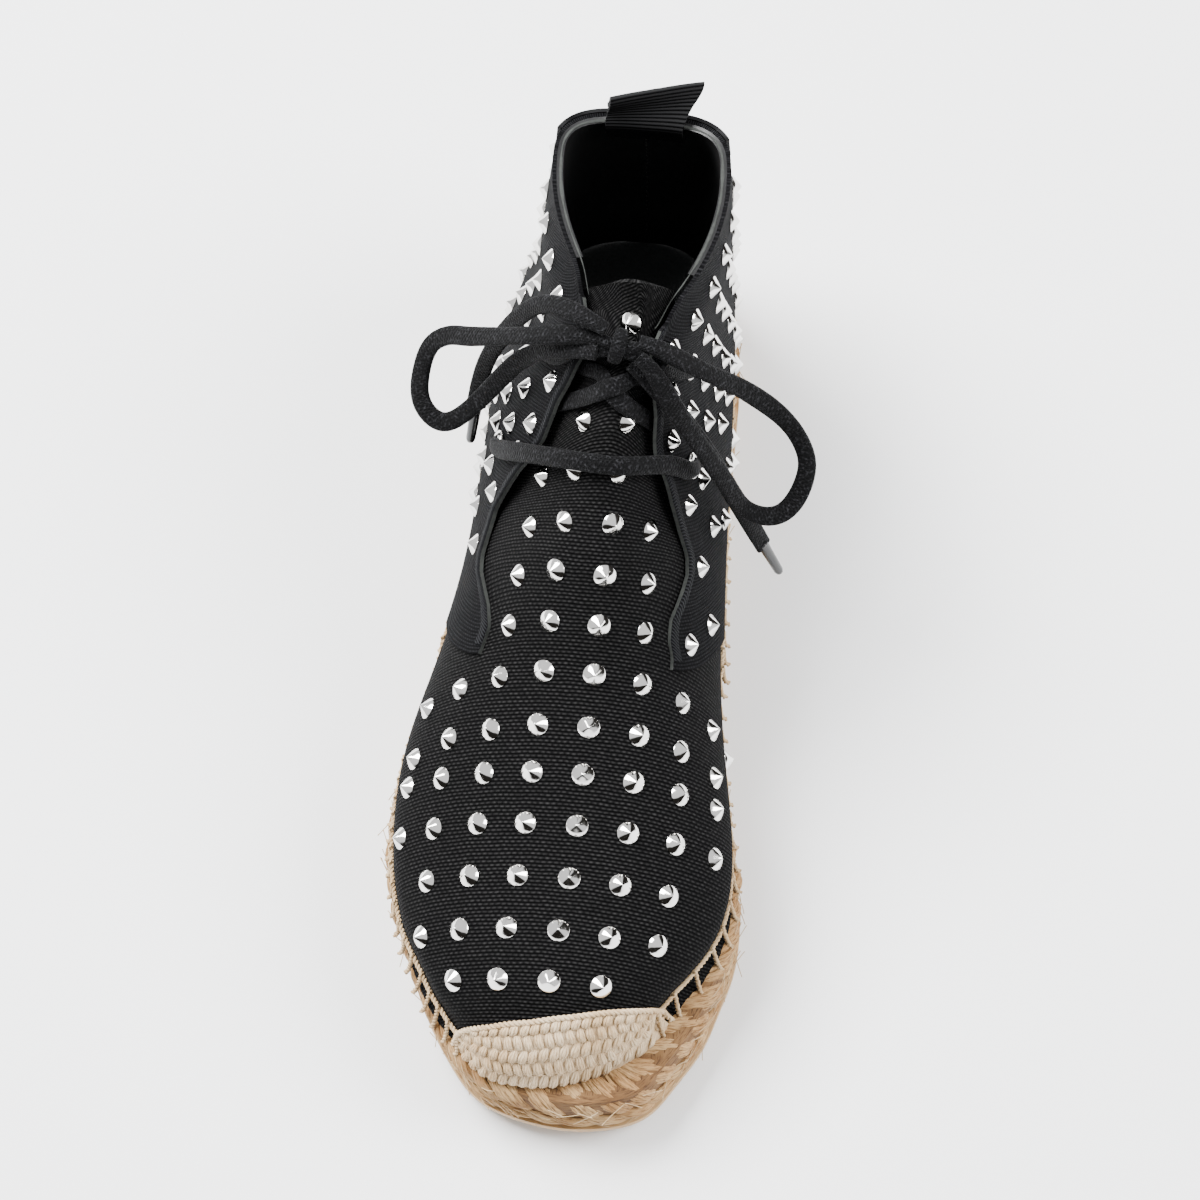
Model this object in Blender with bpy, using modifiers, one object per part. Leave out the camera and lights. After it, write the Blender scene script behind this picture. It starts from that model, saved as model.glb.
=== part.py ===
"""Lace-up espadrille boot, right shoe. Metres, +Z up, toe to -Y, lateral side to -X.

The origin is on the floor. The upper, its tongue, toe patch and collar band are all read from one
surface: sections of the last fan out from upright at the toe to nearly level at the collar.
Working sizes are millimetres, and every mesh is scaled to metres as it is made.
"""
import math

import bmesh
import bpy
import numpy as np
from mathutils import Matrix, Vector

MM = 0.001
GAP = 0.3                       # clearance between neighbouring pieces
VAMP_THICK = 2.0                # canvas with its lining
QUARTER_THICK = 3.2             # vamp layer plus the quarter laid over it
TONGUE_THICK = 1.6
TONGUE_DROP = 2.6               # how far the tongue sinks below the vamp under the laces
FEATHER_HEIGHT = 21.0           # top of the rope midsole
OUTSOLE_THICK = 3.0
SPRING_START = -92.0            # the toe spring begins at this y
SPRING_RISE = 5.5
SPRING_RUN = 50.0
HEEL_BACK = 147.0

# Sections of the last. Each is a closed curve in a plane through a ridge point and a foot point,
# both on the shoe's long axis: at the toe the foot point is under the sole, and from the seat up
# it climbs the back of the heel. lat and med are the half widths, rise the height of the widest
# place as a share, peak narrows the upper half, box squares the lower one.
SECTION_COLUMNS = "ridge_y ridge_z foot_y foot_z lat med rise peak box ridge_x foot_x".split()
SECTIONS = {
    "tip": (-137.5, 25.9, -137.5, 25.5, 0.0, 0.0, .50, .00, 2.4, -2.0, -2.0),
    "nose": (-136.0, 32.6, -136.0, 21.0, 10.6, 7.6, .50, .00, 2.4, -2.8, -2.8),
    "toe": (-131.5, 40.2, -131.5, 17.0, 18.8, 17.1, .45, .00, 2.6, -1.1, -1.1),
    "toe_box": (-123.4, 46.4, -123.4, 13.0, 29.0, 26.6, .42, .00, 3.0, 1.1, 0.5),
    "cap": (-113.7, 52.2, -113.7, 11.0, 35.8, 33.4, .40, .00, 3.4, 0.5, 0.0),
    "small_toe": (-94.0, 57.5, -94.0, 11.0, 46.2, 44.2, .38, .04, 3.8, 2.1, 1.1),
    "ball": (-70.0, 65.0, -70.0, 11.0, 51.0, 47.0, .36, .08, 4.0, 3.0, 0.0),
    "waist": (-46.0, 74.5, -42.0, 11.0, 50.0, 42.5, .34, .12, 4.0, 3.0, -0.5),
    "instep": (-29.0, 83.5, -8.0, 11.0, 44.0, 38.0, .33, .15, 4.0, 3.0, -0.5),
    "throat": (-11.0, 96.5, 35.0, 11.0, 38.0, 34.5, .32, .16, 3.8, 3.0, 0.0),
    "arch": (5.0, 109.5, 85.0, 11.0, 36.5, 32.0, .29, .14, 3.2, 4.0, 0.0),
    "heel": (17.5, 119.5, 125.0, 11.5, 35.5, 29.3, .27, .10, 2.8, 5.0, 0.5),
    "seat": (26.0, 126.0, 141.0, 24.0, 31.0, 26.5, .27, .10, 2.5, 6.0, 1.5),
    "counter": (33.5, 131.0, 141.5, 50.0, 26.5, 25.0, .29, .14, 2.6, 7.0, 2.5),
    "ankle": (42.0, 136.0, 140.0, 80.0, 25.4, 24.0, .31, .22, 3.1, 9.0, 3.4),
    "collar": (51.0, 141.5, 133.3, 109.0, 23.4, 22.8, .24, .34, 3.5, 11.0, 4.0),
    "tongue_top": (57.5, 151.0, 132.5, 128.0, 23.3, 23.0, .34, .12, 3.4, 10.0, 5.0),
}
SECTION_TABLE = np.array(list(SECTIONS.values()))
STATION = {name: number for number, name in enumerate(SECTIONS)}
COLLAR = STATION["collar"]

# Outline of the sole: y, then how far it reaches to the lateral and to the medial side.
SOLE_ROWS = [
    (-147.0, -7.0, 7.0), (-145.5, 5.5, 19.5), (-140.0, 19.5, 31.0), (-129.0, 29.5, 38.5),
    (-117.0, 37.0, 45.0), (-104.0, 43.2, 49.0), (-92.0, 48.3, 52.0), (-78.0, 53.0, 52.5),
    (-65.0, 55.3, 50.5), (-45.0, 54.0, 46.0), (-20.0, 49.0, 40.5), (10.0, 42.5, 37.5),
    (45.0, 38.5, 36.5), (85.0, 37.0, 36.0), (112.0, 34.5, 34.5), (130.0, 28.0, 28.0),
    (141.0, 17.0, 17.0), (HEEL_BACK, 0.0, 0.0),
]

# Angle round the section, in degrees from the ridge, of the quarter's front edge and of the edge
# of the vamp's throat opening that lies hidden under it: station, lateral, medial.
FACING_ROWS = [
    (0.0, 46, 40), (7.0, 46, 40), (7.9, 46, 41), (8.15, 45, 42), (8.35, 44.5, 40.5), (8.6, 48, 41),
    (8.8, 53, 44.5), (8.95, 57.5, 47), (9.1, 58.5, 49), (9.3, 57, 48.5), (9.6, 54, 43),
    (10.0, 45, 36.5), (10.5, 34.5, 30), (10.9, 30, 25.5), (11.6, 27.5, 23.5), (12.6, 26, 21.5),
    (13.4, 24, 18), (14.0, 25.5, 16), (14.4, 30, 15.5), (15.0, 38, 18), (16.0, 38, 18),
]
HOLE_ROWS = [
    (0.0, 62, 64), (6.0, 62, 64), (9.3, 67, 65), (10.4, 67, 62), (12.5, 60, 56), (15.0, 52, 47),
    (16.0, 50, 43),
]
QUARTER_FRONT = 8.0             # station of the quarter's front edge at its lower corner
THROAT_FRONT = 9.3              # station where the vamp ends and the tongue begins
QUARTER_SWEEP = 0.5             # how far back that edge has run where it meets the sole
CORNER_ROUND = 0.45             # how far the collar line dips at the facing's top corner
TONGUE_TOP = 15.93
TONGUE_ARCH = 0.9               # stations by which that edge is lower 36 degrees from the ridge
# Upper edge of the toe patch, further back on the medial side: degrees from the ridge, station.
PATCH_EDGE = [(-100, 2.55), (-35, 2.55), (-8, 2.68), (15, 2.96), (36, 3.3), (63, 3.68), (100, 3.95)]
PATCH_TOP = 2.78                # where that edge crosses the ridge
PATCH_THICK = 1.8
PATCH_CLEARANCE = 0.6           # from the patch's inner face to the canvas
PATCH_LAST_ROW = 0.34           # stations between the patch's last two rows
BAND_THICK = 1.1                # collar band
INSOLE_THICK = 3.0
INSOLE_INSET = 0.8
INSOLE_FRONT = 0.3              # station before which only the very tip is in its outline

# Eyelets: station and signed angle, lateral negative.
EYELETS = {"lower_lateral": (10.3, -57), "upper_lateral": (12.5, -49),
           "lower_medial": (10.4, 46), "upper_medial": (12.65, 44)}
EYELET_HOLE = 6.6
LACE_WIDTH = 5.6
LACE_THICK = 1.4
CORD_DIAMETER = 4.0
TIP_LENGTH = 14.0
TIP_DIAMETER = 3.2


# ---------------------------------------------------------------- curves and surfaces

def natural_spline(rows, parameter):
    """Smooth curve through the rows, one unit of parameter a row."""
    rows = np.asarray(rows, float)
    count = len(rows)
    matrix = np.eye(count)
    right = np.zeros_like(rows)
    for i in range(1, count - 1):
        matrix[i, i - 1:i + 2] = (1, 4, 1)
        right[i] = 6 * (rows[i - 1] - 2 * rows[i] + rows[i + 1])
    bend = np.linalg.solve(matrix, right)
    parameter = np.asarray(parameter, float)
    low = np.clip(np.floor(parameter).astype(int), 0, count - 2)
    t = (parameter - low)[..., None]
    return (rows[low] * (1 - t) + rows[low + 1] * t
            + (((1 - t) ** 3 - (1 - t)) * bend[low] + (t ** 3 - t) * bend[low + 1]) / 6)


def smooth_step(value):
    value = np.clip(value, 0, 1)
    return value * value * (3 - 2 * value)


def spring(y):
    """Lift of the sole at the toe."""
    return SPRING_RISE * np.clip((SPRING_START - np.asarray(y)) / SPRING_RUN, 0, None) ** 2


def feather(y):
    """Height of the midsole's top, where the upper begins."""
    return FEATHER_HEIGHT + spring(y)


def last_point(station, angle):
    """Point on the last: angle 0 on the ridge, +-pi at the foot point, medial positive."""
    station, angle = np.broadcast_arrays(np.asarray(station, float), np.asarray(angle, float))
    section = dict(zip(SECTION_COLUMNS, np.moveaxis(natural_spline(SECTION_TABLE, station), -1, 0)))
    half = np.where(angle >= 0, section["med"], section["lat"])
    sine, cosine = np.sin(np.abs(angle)), np.cos(angle)
    power = 2 / section["box"]
    is_upper = cosine >= 0
    rise = section["rise"]
    below = np.clip(-cosine, 0, 1) ** power
    across = np.where(is_upper, sine * (1 - section["peak"] * cosine ** 2),
                      np.clip(sine, 0, 1) ** power)
    height = np.where(is_upper, rise + (1 - rise) * cosine, rise * (1 - below))
    point = [section["foot_" + axis] + (section["ridge_" + axis] - section["foot_" + axis]) * height
             for axis in "xyz"]
    point[0] = point[0] + np.sign(angle) * half * across
    return np.stack(point, -1)


def last_normal(station, angle, step=1e-3):
    """Outward direction of the last's surface."""
    station, angle = np.broadcast_arrays(np.asarray(station, float), np.asarray(angle, float))
    safe = np.maximum(station, 0.02)
    along = last_point(safe + step, angle) - last_point(safe - step, angle)
    around = last_point(safe, angle + step) - last_point(safe, angle - step)
    normal = np.cross(around, along)
    normal /= np.linalg.norm(normal, axis=-1, keepdims=True)
    toe_direction = np.array([0.0, -0.97, 0.24])
    return np.where((station < 0.01)[..., None], toe_direction, normal)


def surface(station, angle, offset):
    """Point at an offset outside the last."""
    offset = np.asarray(offset, float)[..., None]
    return last_point(station, angle) + last_normal(station, angle) * offset


def table_angle(rows, station, side):
    """Signed angle from one of the two angle tables."""
    table = np.array(rows, float)
    column = 1 if side < 0 else 2
    return side * math.radians(float(np.interp(station, table[:, 0], table[:, column])))


def feather_angle(station, offset, side):
    """Signed angle where the offset surface comes down to the midsole."""
    low, high = 0.6, math.pi
    for _ in range(40):
        middle = (low + high) / 2
        point = surface(station, side * middle, offset)
        if point[2] > feather(point[1]) + GAP:
            low = middle
        else:
            high = middle
    return side * low


def back_station():
    """Station whose foot point first clears the midsole, so its section closes at the back."""
    low, high = float(STATION["heel"]), float(STATION["seat"])
    for _ in range(40):
        middle = (low + high) / 2
        heights = [surface(middle, math.pi, offset)[2] for offset in (0.0, QUARTER_THICK)]
        if min(heights) > FEATHER_HEIGHT + GAP:
            high = middle
        else:
            low = middle
    return high


BACK_STATION = back_station()


def even_angles(station, offset, start, end, count):
    """Angles from start to end at even distances along the section."""
    fine = np.linspace(start, end, 160)
    points = surface(station, fine, offset)
    run = np.concatenate([[0], np.cumsum(np.linalg.norm(np.diff(points, axis=0), axis=1))])
    return np.interp(np.linspace(0, run[-1], count + 1), run, fine)


def swept_station(station, angle):
    """The row's station there: the quarter's edge sweeps back, the collar's corners are rounded."""
    side = 1 if angle >= 0 else -1
    facing = abs(table_angle(FACING_ROWS, station, side))
    beyond = smooth_step((abs(angle) - facing) / 0.9)
    sweep = QUARTER_SWEEP * math.exp(-((station - QUARTER_FRONT) / 0.8) ** 2) * beyond
    top = np.clip((station - 13.0) / (COLLAR - 13.0), 0, 1) ** 2
    corner = math.exp(-((abs(angle) - facing) / 0.16) ** 2)
    return station + sweep - (CORNER_ROUND * top * corner if station <= COLLAR else 0)


# ---------------------------------------------------------------- scene helpers

for old in list(bpy.data.objects):
    bpy.data.objects.remove(old, do_unlink=True)
PARTS = bpy.data.collections.new("espadrille_boot")
CUTTERS = bpy.data.collections.new("cutters")
bpy.context.scene.collection.children.link(PARTS)
bpy.context.scene.collection.children.link(CUTTERS)


def material(name, colour, roughness, metallic=0.0):
    made = bpy.data.materials.new(name)
    made.use_nodes = True
    shader = made.node_tree.nodes["Principled BSDF"]
    shader.inputs["Base Color"].default_value = (*colour, 1)
    shader.inputs["Roughness"].default_value = roughness
    shader.inputs["Metallic"].default_value = metallic
    return made


CANVAS = material("black_canvas", (0.012, 0.012, 0.013), 0.85)
RIBBON = material("black_ribbon", (0.010, 0.010, 0.011), 0.70)
LACE = material("black_lace", (0.014, 0.014, 0.015), 0.75)
LINING = material("dark_insole", (0.020, 0.024, 0.022), 0.90)
JUTE = material("jute_rope", (0.60, 0.45, 0.27), 0.90)
PATCH = material("jute_weave", (0.75, 0.67, 0.52), 0.90)
RUBBER = material("tan_rubber", (0.42, 0.27, 0.13), 0.60)
METAL = material("silver_metal", (0.80, 0.80, 0.80), 0.20, 1.0)
PLASTIC = material("black_plastic", (0.015, 0.015, 0.015), 0.35)


def add_object(name, mesh, finish, collection=PARTS):
    made = bpy.data.objects.new(name, mesh)
    collection.objects.link(made)
    if finish:
        mesh.materials.append(finish)
    return made


def solid(name, points, faces, finish, collection=PARTS):
    """Object from points in millimetres and faces, with its normals turned outwards."""
    mesh = bpy.data.meshes.new(name)
    mesh.from_pydata([tuple(p) for p in np.asarray(points) * MM], [], faces)
    shape = bmesh.new()
    shape.from_mesh(mesh)
    loose = [vertex for vertex in shape.verts if not vertex.link_faces]
    bmesh.ops.delete(shape, geom=loose, context="VERTS")
    bmesh.ops.recalc_face_normals(shape, faces=shape.faces)
    if shape.calc_volume(signed=True) < 0:
        bmesh.ops.reverse_faces(shape, faces=shape.faces)
    shape.to_mesh(mesh)
    shape.free()
    mesh.shade_smooth()
    mesh.set_sharp_from_angle(angle=math.radians(40))
    return add_object(name, mesh, finish, collection)


def layered_shell(name, points, is_filled, finish, closed_from=None, has_pole=False):
    """Solid from a grid of cells: rows along the shoe, columns round it, layers outwards.

    Rows from closed_from on meet themselves at the back, and a pole draws row 0 to one point.
    """
    rows, columns, layers = points.shape[:3]

    def vertex(i, j, k):
        if has_pole and i == 0:
            j = 0
        if closed_from is not None and i >= closed_from and j == columns - 1:
            j = 0
        return (i * columns + j) * layers + k

    sides = {}
    for i, j, k in np.argwhere(is_filled):
        corner = [[[vertex(i + a, j + b, k + c) for c in (0, 1)] for b in (0, 1)] for a in (0, 1)]
        for a in (0, 1):
            quads = [
                (corner[a][0][0], corner[a][1][0], corner[a][1][1], corner[a][0][1]),
                (corner[0][a][0], corner[1][a][0], corner[1][a][1], corner[0][a][1]),
                (corner[0][0][a], corner[1][0][a], corner[1][1][a], corner[0][1][a]),
            ]
            for quad in quads:
                face = tuple(dict.fromkeys(quad))
                if len(face) > 2:
                    sides.setdefault(frozenset(face), []).append(face)
    faces = [same[0] for same in sides.values() if len(same) == 1]
    return solid(name, points.reshape(-1, 3), faces, finish)


def join_solids(target, others):
    """Unites the others into the target and removes them."""
    for other in others:
        union = target.modifiers.new("union", "BOOLEAN")
        union.operation = "UNION"
        union.object = other
        bpy.context.view_layer.update()
        evaluated = target.evaluated_get(bpy.context.evaluated_depsgraph_get())
        joined = bpy.data.meshes.new_from_object(evaluated)
        target.modifiers.clear()
        target.data = joined
        bpy.data.objects.remove(other, do_unlink=True)


# ---------------------------------------------------------------- sole

def sole_outline(position):
    """Point of the outline: 0 at the toe, positive down the medial side, +-END at the heel."""
    lateral = [(-row[1], row[0]) for row in SOLE_ROWS]
    medial = [(row[2], row[0]) for row in SOLE_ROWS]
    loop = lateral[::-1] + medial[1:]
    wrapped = loop[-5:-1] + loop + loop[1:5]
    return natural_spline(wrapped, np.asarray(position, float) + len(SOLE_ROWS) - 1 + 4)


def outline_ring(inset, count):
    """Rungs across the sole: the lateral and the medial point at each step, toe to heel."""
    end = len(SOLE_ROWS) - 1
    steps = end * (0.5 - 0.5 * np.cos(np.linspace(0, math.pi, count)))
    steps = 0.55 * steps + 0.45 * np.linspace(0, end, count)
    ring = []
    for side in (-1, 1):
        points = sole_outline(side * steps)
        tangent = sole_outline(side * steps + 1e-3) - sole_outline(side * steps - 1e-3)
        normal = np.stack([-tangent[:, 1], tangent[:, 0]], -1)
        normal /= np.linalg.norm(normal, axis=1, keepdims=True)
        ring.append(points + normal * inset)
    return ring


def sole_layer(name, profile, count, finish):
    """Solid whose side follows the profile's (height, inset) rows, lifted by the toe spring."""
    points, loops = [], []
    for height, inset in profile:
        lateral, medial = outline_ring(inset, count)
        ring = np.concatenate([lateral, medial[-2:0:-1]])
        loops.append(range(len(points), len(points) + len(ring)))
        points += [(x, y, height + float(spring(y))) for x, y in ring]
    faces = []
    size = len(loops[0])
    for lower, upper in zip(loops, loops[1:]):
        faces += [(lower[i], lower[(i + 1) % size], upper[(i + 1) % size], upper[i])
                  for i in range(size)]
    for loop in (loops[0], loops[-1]):
        for i in range(count - 1):
            rung = (loop[i], loop[i + 1], loop[(size - i - 1) % size], loop[(size - i) % size])
            faces.append(tuple(dict.fromkeys(rung)))
    return solid(name, points, faces, finish)


def make_outsole():
    profile = [(0.0, 1.6), (0.7, 0.8), (OUTSOLE_THICK, 0.6)]
    return sole_layer("outsole", profile, 40, RUBBER)


def make_midsole():
    """Four rope tiers, each a shallow bulge on the side."""
    bottom = OUTSOLE_THICK + GAP
    tiers, depth = 4, 0.9
    tier_height = (FEATHER_HEIGHT - bottom) / tiers
    profile = [(bottom, depth)]
    for tier in range(tiers):
        for share, inset in ((0.25, 0.25), (0.75, 0.25), (1.0, 1.0)):
            profile.append((bottom + (tier + share) * tier_height, inset * depth))
    return sole_layer("midsole", profile, 40, JUTE)


# ---------------------------------------------------------------- upper and what lies on it

TOE_ROWS = [0, 0.12, 0.35, 0.65, 1.0, 1.5, 2.1, 2.8]
UPPER_ROWS = sorted(TOE_ROWS + [3.5, 4.2, 4.8, 5.4, 6.0, 6.6, 7.3, QUARTER_FRONT, 8.6, THROAT_FRONT,
                                9.8, 10.4, 11.0, 11.45, BACK_STATION - 0.13, BACK_STATION - 0.03,
                                BACK_STATION, 12.3, 12.9, 13.5, 14.1, 14.6, float(COLLAR)])
FACING_COLUMNS = 4              # from the ridge to the quarter's edge
HIDDEN_COLUMNS = 2              # from there to the edge of the throat opening
SIDE_COLUMNS = 9                # from there to the sole or the back seam


def row_angles(station, offset):
    """All column angles of one row, lateral sole to medial sole."""
    halves = []
    for side in (-1, 1):
        facing = table_angle(FACING_ROWS, station, side)
        hole = table_angle(HOLE_ROWS, station, side)
        if station >= BACK_STATION:
            end = side * math.pi
        else:
            end = feather_angle(station, offset, side)
        shrink = min(1.0, abs(end) / abs(hole) / 1.5)
        facing, hole = facing * shrink, hole * shrink
        halves.append(np.concatenate([
            even_angles(station, offset, 0, facing, FACING_COLUMNS)[:-1],
            even_angles(station, offset, facing, hole, HIDDEN_COLUMNS)[:-1],
            even_angles(station, offset, hole, end, SIDE_COLUMNS)]))
    return np.concatenate([halves[0][::-1], halves[1][1:]])


def upper_point(station, angle, offset):
    return surface(swept_station(station, angle), angle, offset)


def settle_on_midsole(points):
    """Brings the bottom rim of a row exactly to the midsole's clearance."""
    for edge in (0, -1):
        rim = points[edge]
        rim[..., 2] = feather(rim[..., 1]) + GAP


def make_upper():
    offsets = (0.0, VAMP_THICK, QUARTER_THICK)
    columns = 2 * (FACING_COLUMNS + HIDDEN_COLUMNS + SIDE_COLUMNS)
    points = np.zeros((len(UPPER_ROWS), columns + 1, len(offsets), 3))
    for i, station in enumerate(UPPER_ROWS):
        for k, offset in enumerate(offsets):
            for j, angle in enumerate(row_angles(station, offset)):
                points[i, j, k] = upper_point(station, angle, offset)
            if station < BACK_STATION:
                settle_on_midsole(points[i, :, k])
    middle = columns // 2
    from_ridge = np.abs(np.arange(columns) - middle + 0.5)
    in_hole = from_ridge < FACING_COLUMNS + HIDDEN_COLUMNS
    in_gap = from_ridge < FACING_COLUMNS
    is_filled = np.ones((len(UPPER_ROWS) - 1, columns, 2), bool)
    for i, station in enumerate(UPPER_ROWS[:-1]):
        if station >= THROAT_FRONT:
            is_filled[i, in_hole, 0] = False
        if station >= QUARTER_FRONT:
            is_filled[i, in_gap, 1] = False
        else:
            is_filled[i, :, 1] = False
    upper = layered_shell("upper", points, is_filled, CANVAS,
                          closed_from=UPPER_ROWS.index(BACK_STATION), has_pole=True)
    for station, degrees in EYELETS.values():
        cut_eyelet_hole(upper, station, math.radians(degrees))
    return upper


def seat_matrix(station, angle, offset):
    """Frame on the shoe's surface: Z outwards, X round the section towards the medial side."""
    origin = Vector(surface(station, angle, offset) * MM)
    outward = Vector(last_normal(station, angle))
    around = Vector(last_point(station, angle + 0.01) - last_point(station, angle - 0.01))
    around = (around - outward * around.dot(outward)).normalized()
    frame = Matrix((around, outward.cross(around), outward)).transposed().to_4x4()
    frame.translation = origin
    return frame


def cut_eyelet_hole(upper, station, angle):
    shape = bmesh.new()
    bmesh.ops.create_cone(shape, cap_ends=True, segments=16, radius1=EYELET_HOLE / 2 * MM,
                          radius2=EYELET_HOLE / 2 * MM, depth=6 * MM)
    mesh = bpy.data.meshes.new("eyelet_cutter")
    shape.to_mesh(mesh)
    shape.free()
    cutter = add_object("eyelet_cutter", mesh, None, CUTTERS)
    cutter.matrix_world = seat_matrix(station, angle, QUARTER_THICK)
    cutter.hide_render = True
    cutter.display_type = "WIRE"
    cut = upper.modifiers.new("eyelet_hole", "BOOLEAN")
    cut.operation = "DIFFERENCE"
    cut.object = cutter


def make_eyelet(name, station, angle):
    """Grommet: a barrel through the quarter with a rounded flange on top."""
    profile = [(2.30, -1.5), (2.30, 1.25), (2.75, 1.6), (3.6, 1.35), (4.0, 0.9), (4.0, 0.5),
               (2.85, 0.5), (2.85, -1.5)]
    mesh = bpy.data.meshes.new(name)
    edges = [(i, (i + 1) % len(profile)) for i in range(len(profile))]
    mesh.from_pydata([(radius * MM, 0, height * MM) for radius, height in profile], edges, [])
    eyelet = add_object(name, mesh, METAL)
    turn = eyelet.modifiers.new("turn", "SCREW")
    turn.steps = turn.render_steps = 16
    turn.use_merge_vertices = True
    turn.merge_threshold = 1e-5
    turn.use_normal_calculate = True
    eyelet.matrix_world = seat_matrix(station, angle, QUARTER_THICK)
    return eyelet


def make_tongue():
    """Vamp canvas carried on up the instep, dropping under the laces and facings."""
    stations = [THROAT_FRONT + 0.03, 9.6, 9.8, 10.0, 10.4, 11.0, 11.6, 12.3, 12.9, 13.5, 14.1, 14.6,
                15.0, 15.5, TONGUE_TOP]
    columns = 12
    edge_clearance = math.radians(2.5)
    points = np.zeros((len(stations), columns + 1, 2, 3))
    for i, station in enumerate(stations):
        level = TONGUE_THICK - TONGUE_DROP * float(smooth_step((station - 9.4) / 0.7))
        lateral, medial = [table_angle(HOLE_ROWS, station, side) for side in (-1, 1)]
        angles = np.linspace(lateral + edge_clearance, medial - edge_clearance, columns + 1)
        arch = TONGUE_ARCH * float(smooth_step((station - 13.8) / 2.0))
        for j, angle in enumerate(angles):
            row = swept_station(station, angle) if station < 10.5 else station
            row -= arch * (angle / math.radians(36)) ** 2
            for k, offset in enumerate((level - TONGUE_THICK, level)):
                points[i, j, k] = surface(row, angle, offset)
    is_filled = np.ones((len(stations) - 1, columns, 1), bool)
    return layered_shell("tongue", points, is_filled, CANVAS)


def make_insole():
    """Board that fills the upper's bottom opening, just inside its wall."""
    below = [row for row in UPPER_ROWS if row < BACK_STATION]
    stations = [row for row in below if row == 0 or row > INSOLE_FRONT] + [BACK_STATION]
    lateral, medial = [], []
    for side, rim in ((-1, lateral), (1, medial)):
        for station in stations:
            angle = side * math.pi if station == BACK_STATION else feather_angle(station, 0.0, side)
            rim.append(surface(swept_station(station, angle) if station < 11 else station, angle, 0.0))
    lateral, medial = np.array(lateral)[:, :2], np.array(medial)[:, :2]
    ring = np.concatenate([lateral, medial[-2:0:-1]])
    ahead, behind = np.roll(ring, -1, axis=0), np.roll(ring, 1, axis=0)
    tangent = ahead - behind
    inward = np.stack([tangent[:, 1], -tangent[:, 0]], -1)
    inward /= np.linalg.norm(inward, axis=1, keepdims=True)
    centre = ring.mean(axis=0)
    inward *= np.sign(np.sum(inward * (centre - ring), axis=1))[:, None]
    ring = ring + inward * INSOLE_INSET
    size, count = len(ring), len(stations)
    points = []
    for height in (GAP, GAP + INSOLE_THICK):
        points += [(x, y, float(feather(y)) + height) for x, y in ring]
    faces = [(i, (i + 1) % size, (i + 1) % size + size, i + size) for i in range(size)]
    for base in (0, size):
        for i in range(count - 1):
            rung = (i, i + 1, (size - i - 1) % size, (size - i) % size)
            faces.append(tuple(base + corner for corner in dict.fromkeys(rung)))
    return solid("insole", points, faces, LINING)


def patch_station(row, angle):
    """Station of a row of the patch, which leans more towards the edge's own line at each row."""
    degrees, stations = np.array(PATCH_EDGE, float).T
    on_ridge = float(np.interp(0, degrees, stations))
    lean = np.interp(np.degrees(angle), degrees, stations) / on_ridge - 1
    return row * (1 + lean * (row / on_ridge) ** 2)


def patch_end(row, offset, side):
    """Signed angle where a row of the patch comes down to the midsole."""
    angle = side * math.pi / 2
    for _ in range(8):
        angle = feather_angle(float(patch_station(row, angle)), offset, side)
    return angle


def make_toe_patch():
    """Woven patch over the toe, deepest on the ridge and tapering down both sides."""
    rows, columns = TOE_ROWS[:-1] + [PATCH_TOP - PATCH_LAST_ROW, PATCH_TOP], 18
    inner = VAMP_THICK + PATCH_CLEARANCE
    offsets = (inner, inner + PATCH_THICK)
    points = np.zeros((len(rows), columns + 1, 2, 3))
    for i, row in enumerate(rows):
        for k, offset in enumerate(offsets):
            lateral, medial = [patch_end(row, offset, side) for side in (-1, 1)]
            angles = np.concatenate([even_angles(row, offset, lateral, 0, columns // 2)[:-1],
                                     even_angles(row, offset, 0, medial, columns // 2)])
            points[i, :, k] = surface(patch_station(row, angles), angles, offset)
            settle_on_midsole(points[i, :, k])
    is_filled = np.ones((len(rows) - 1, columns, 1), bool)
    return layered_shell("toe_patch", points, is_filled, PATCH, has_pole=True)


def make_collar_band():
    """Ribbon band round the back third of the collar, outside the quarters."""
    stations = [14.55, 14.78, float(COLLAR)]
    start, columns = math.radians(118), 12
    inner = QUARTER_THICK + GAP
    points = np.zeros((len(stations), columns + 1, 2, 3))
    for i, station in enumerate(stations):
        medial = even_angles(station, inner, start, math.pi, columns // 2)
        lateral = even_angles(station, inner, -math.pi, -start, columns // 2)
        for j, angle in enumerate(np.concatenate([medial, lateral[1:]])):
            for k, offset in enumerate((inner, inner + BAND_THICK)):
                points[i, j, k] = surface(station, angle, offset)
    is_filled = np.ones((len(stations) - 1, columns, 1), bool)
    return layered_shell("collar_band", points, is_filled, RIBBON)


def ribbon_strip(name, path, across, widths, thick, finish, collection=PARTS):
    """Flat ribbon swept along a path, with the given direction of its width at each point."""
    path, across = np.asarray(path, float), np.asarray(across, float)
    tangent = np.gradient(path, axis=0)
    tangent /= np.linalg.norm(tangent, axis=1, keepdims=True)
    across = across - tangent * np.sum(across * tangent, axis=1, keepdims=True)
    across /= np.linalg.norm(across, axis=1, keepdims=True)
    up = np.cross(across, tangent)
    turns = np.radians(np.arange(0, 360, 45) + 22.5)
    points = []
    for i in range(len(path)):
        for turn in turns:
            side = math.copysign(abs(math.cos(turn)) ** 0.6, math.cos(turn))
            lift = math.copysign(abs(math.sin(turn)) ** 0.8, math.sin(turn))
            points.append(path[i] + across[i] * side * widths[i] / 2 + up[i] * lift * thick / 2)
    size = len(turns)
    faces = [(i * size + a, i * size + (a + 1) % size, (i + 1) * size + (a + 1) % size,
              (i + 1) * size + a) for i in range(len(path) - 1) for a in range(size)]
    faces += [tuple(range(size)), tuple(range((len(path) - 1) * size, len(path) * size))]
    return solid(name, points, faces, finish, collection)


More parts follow.
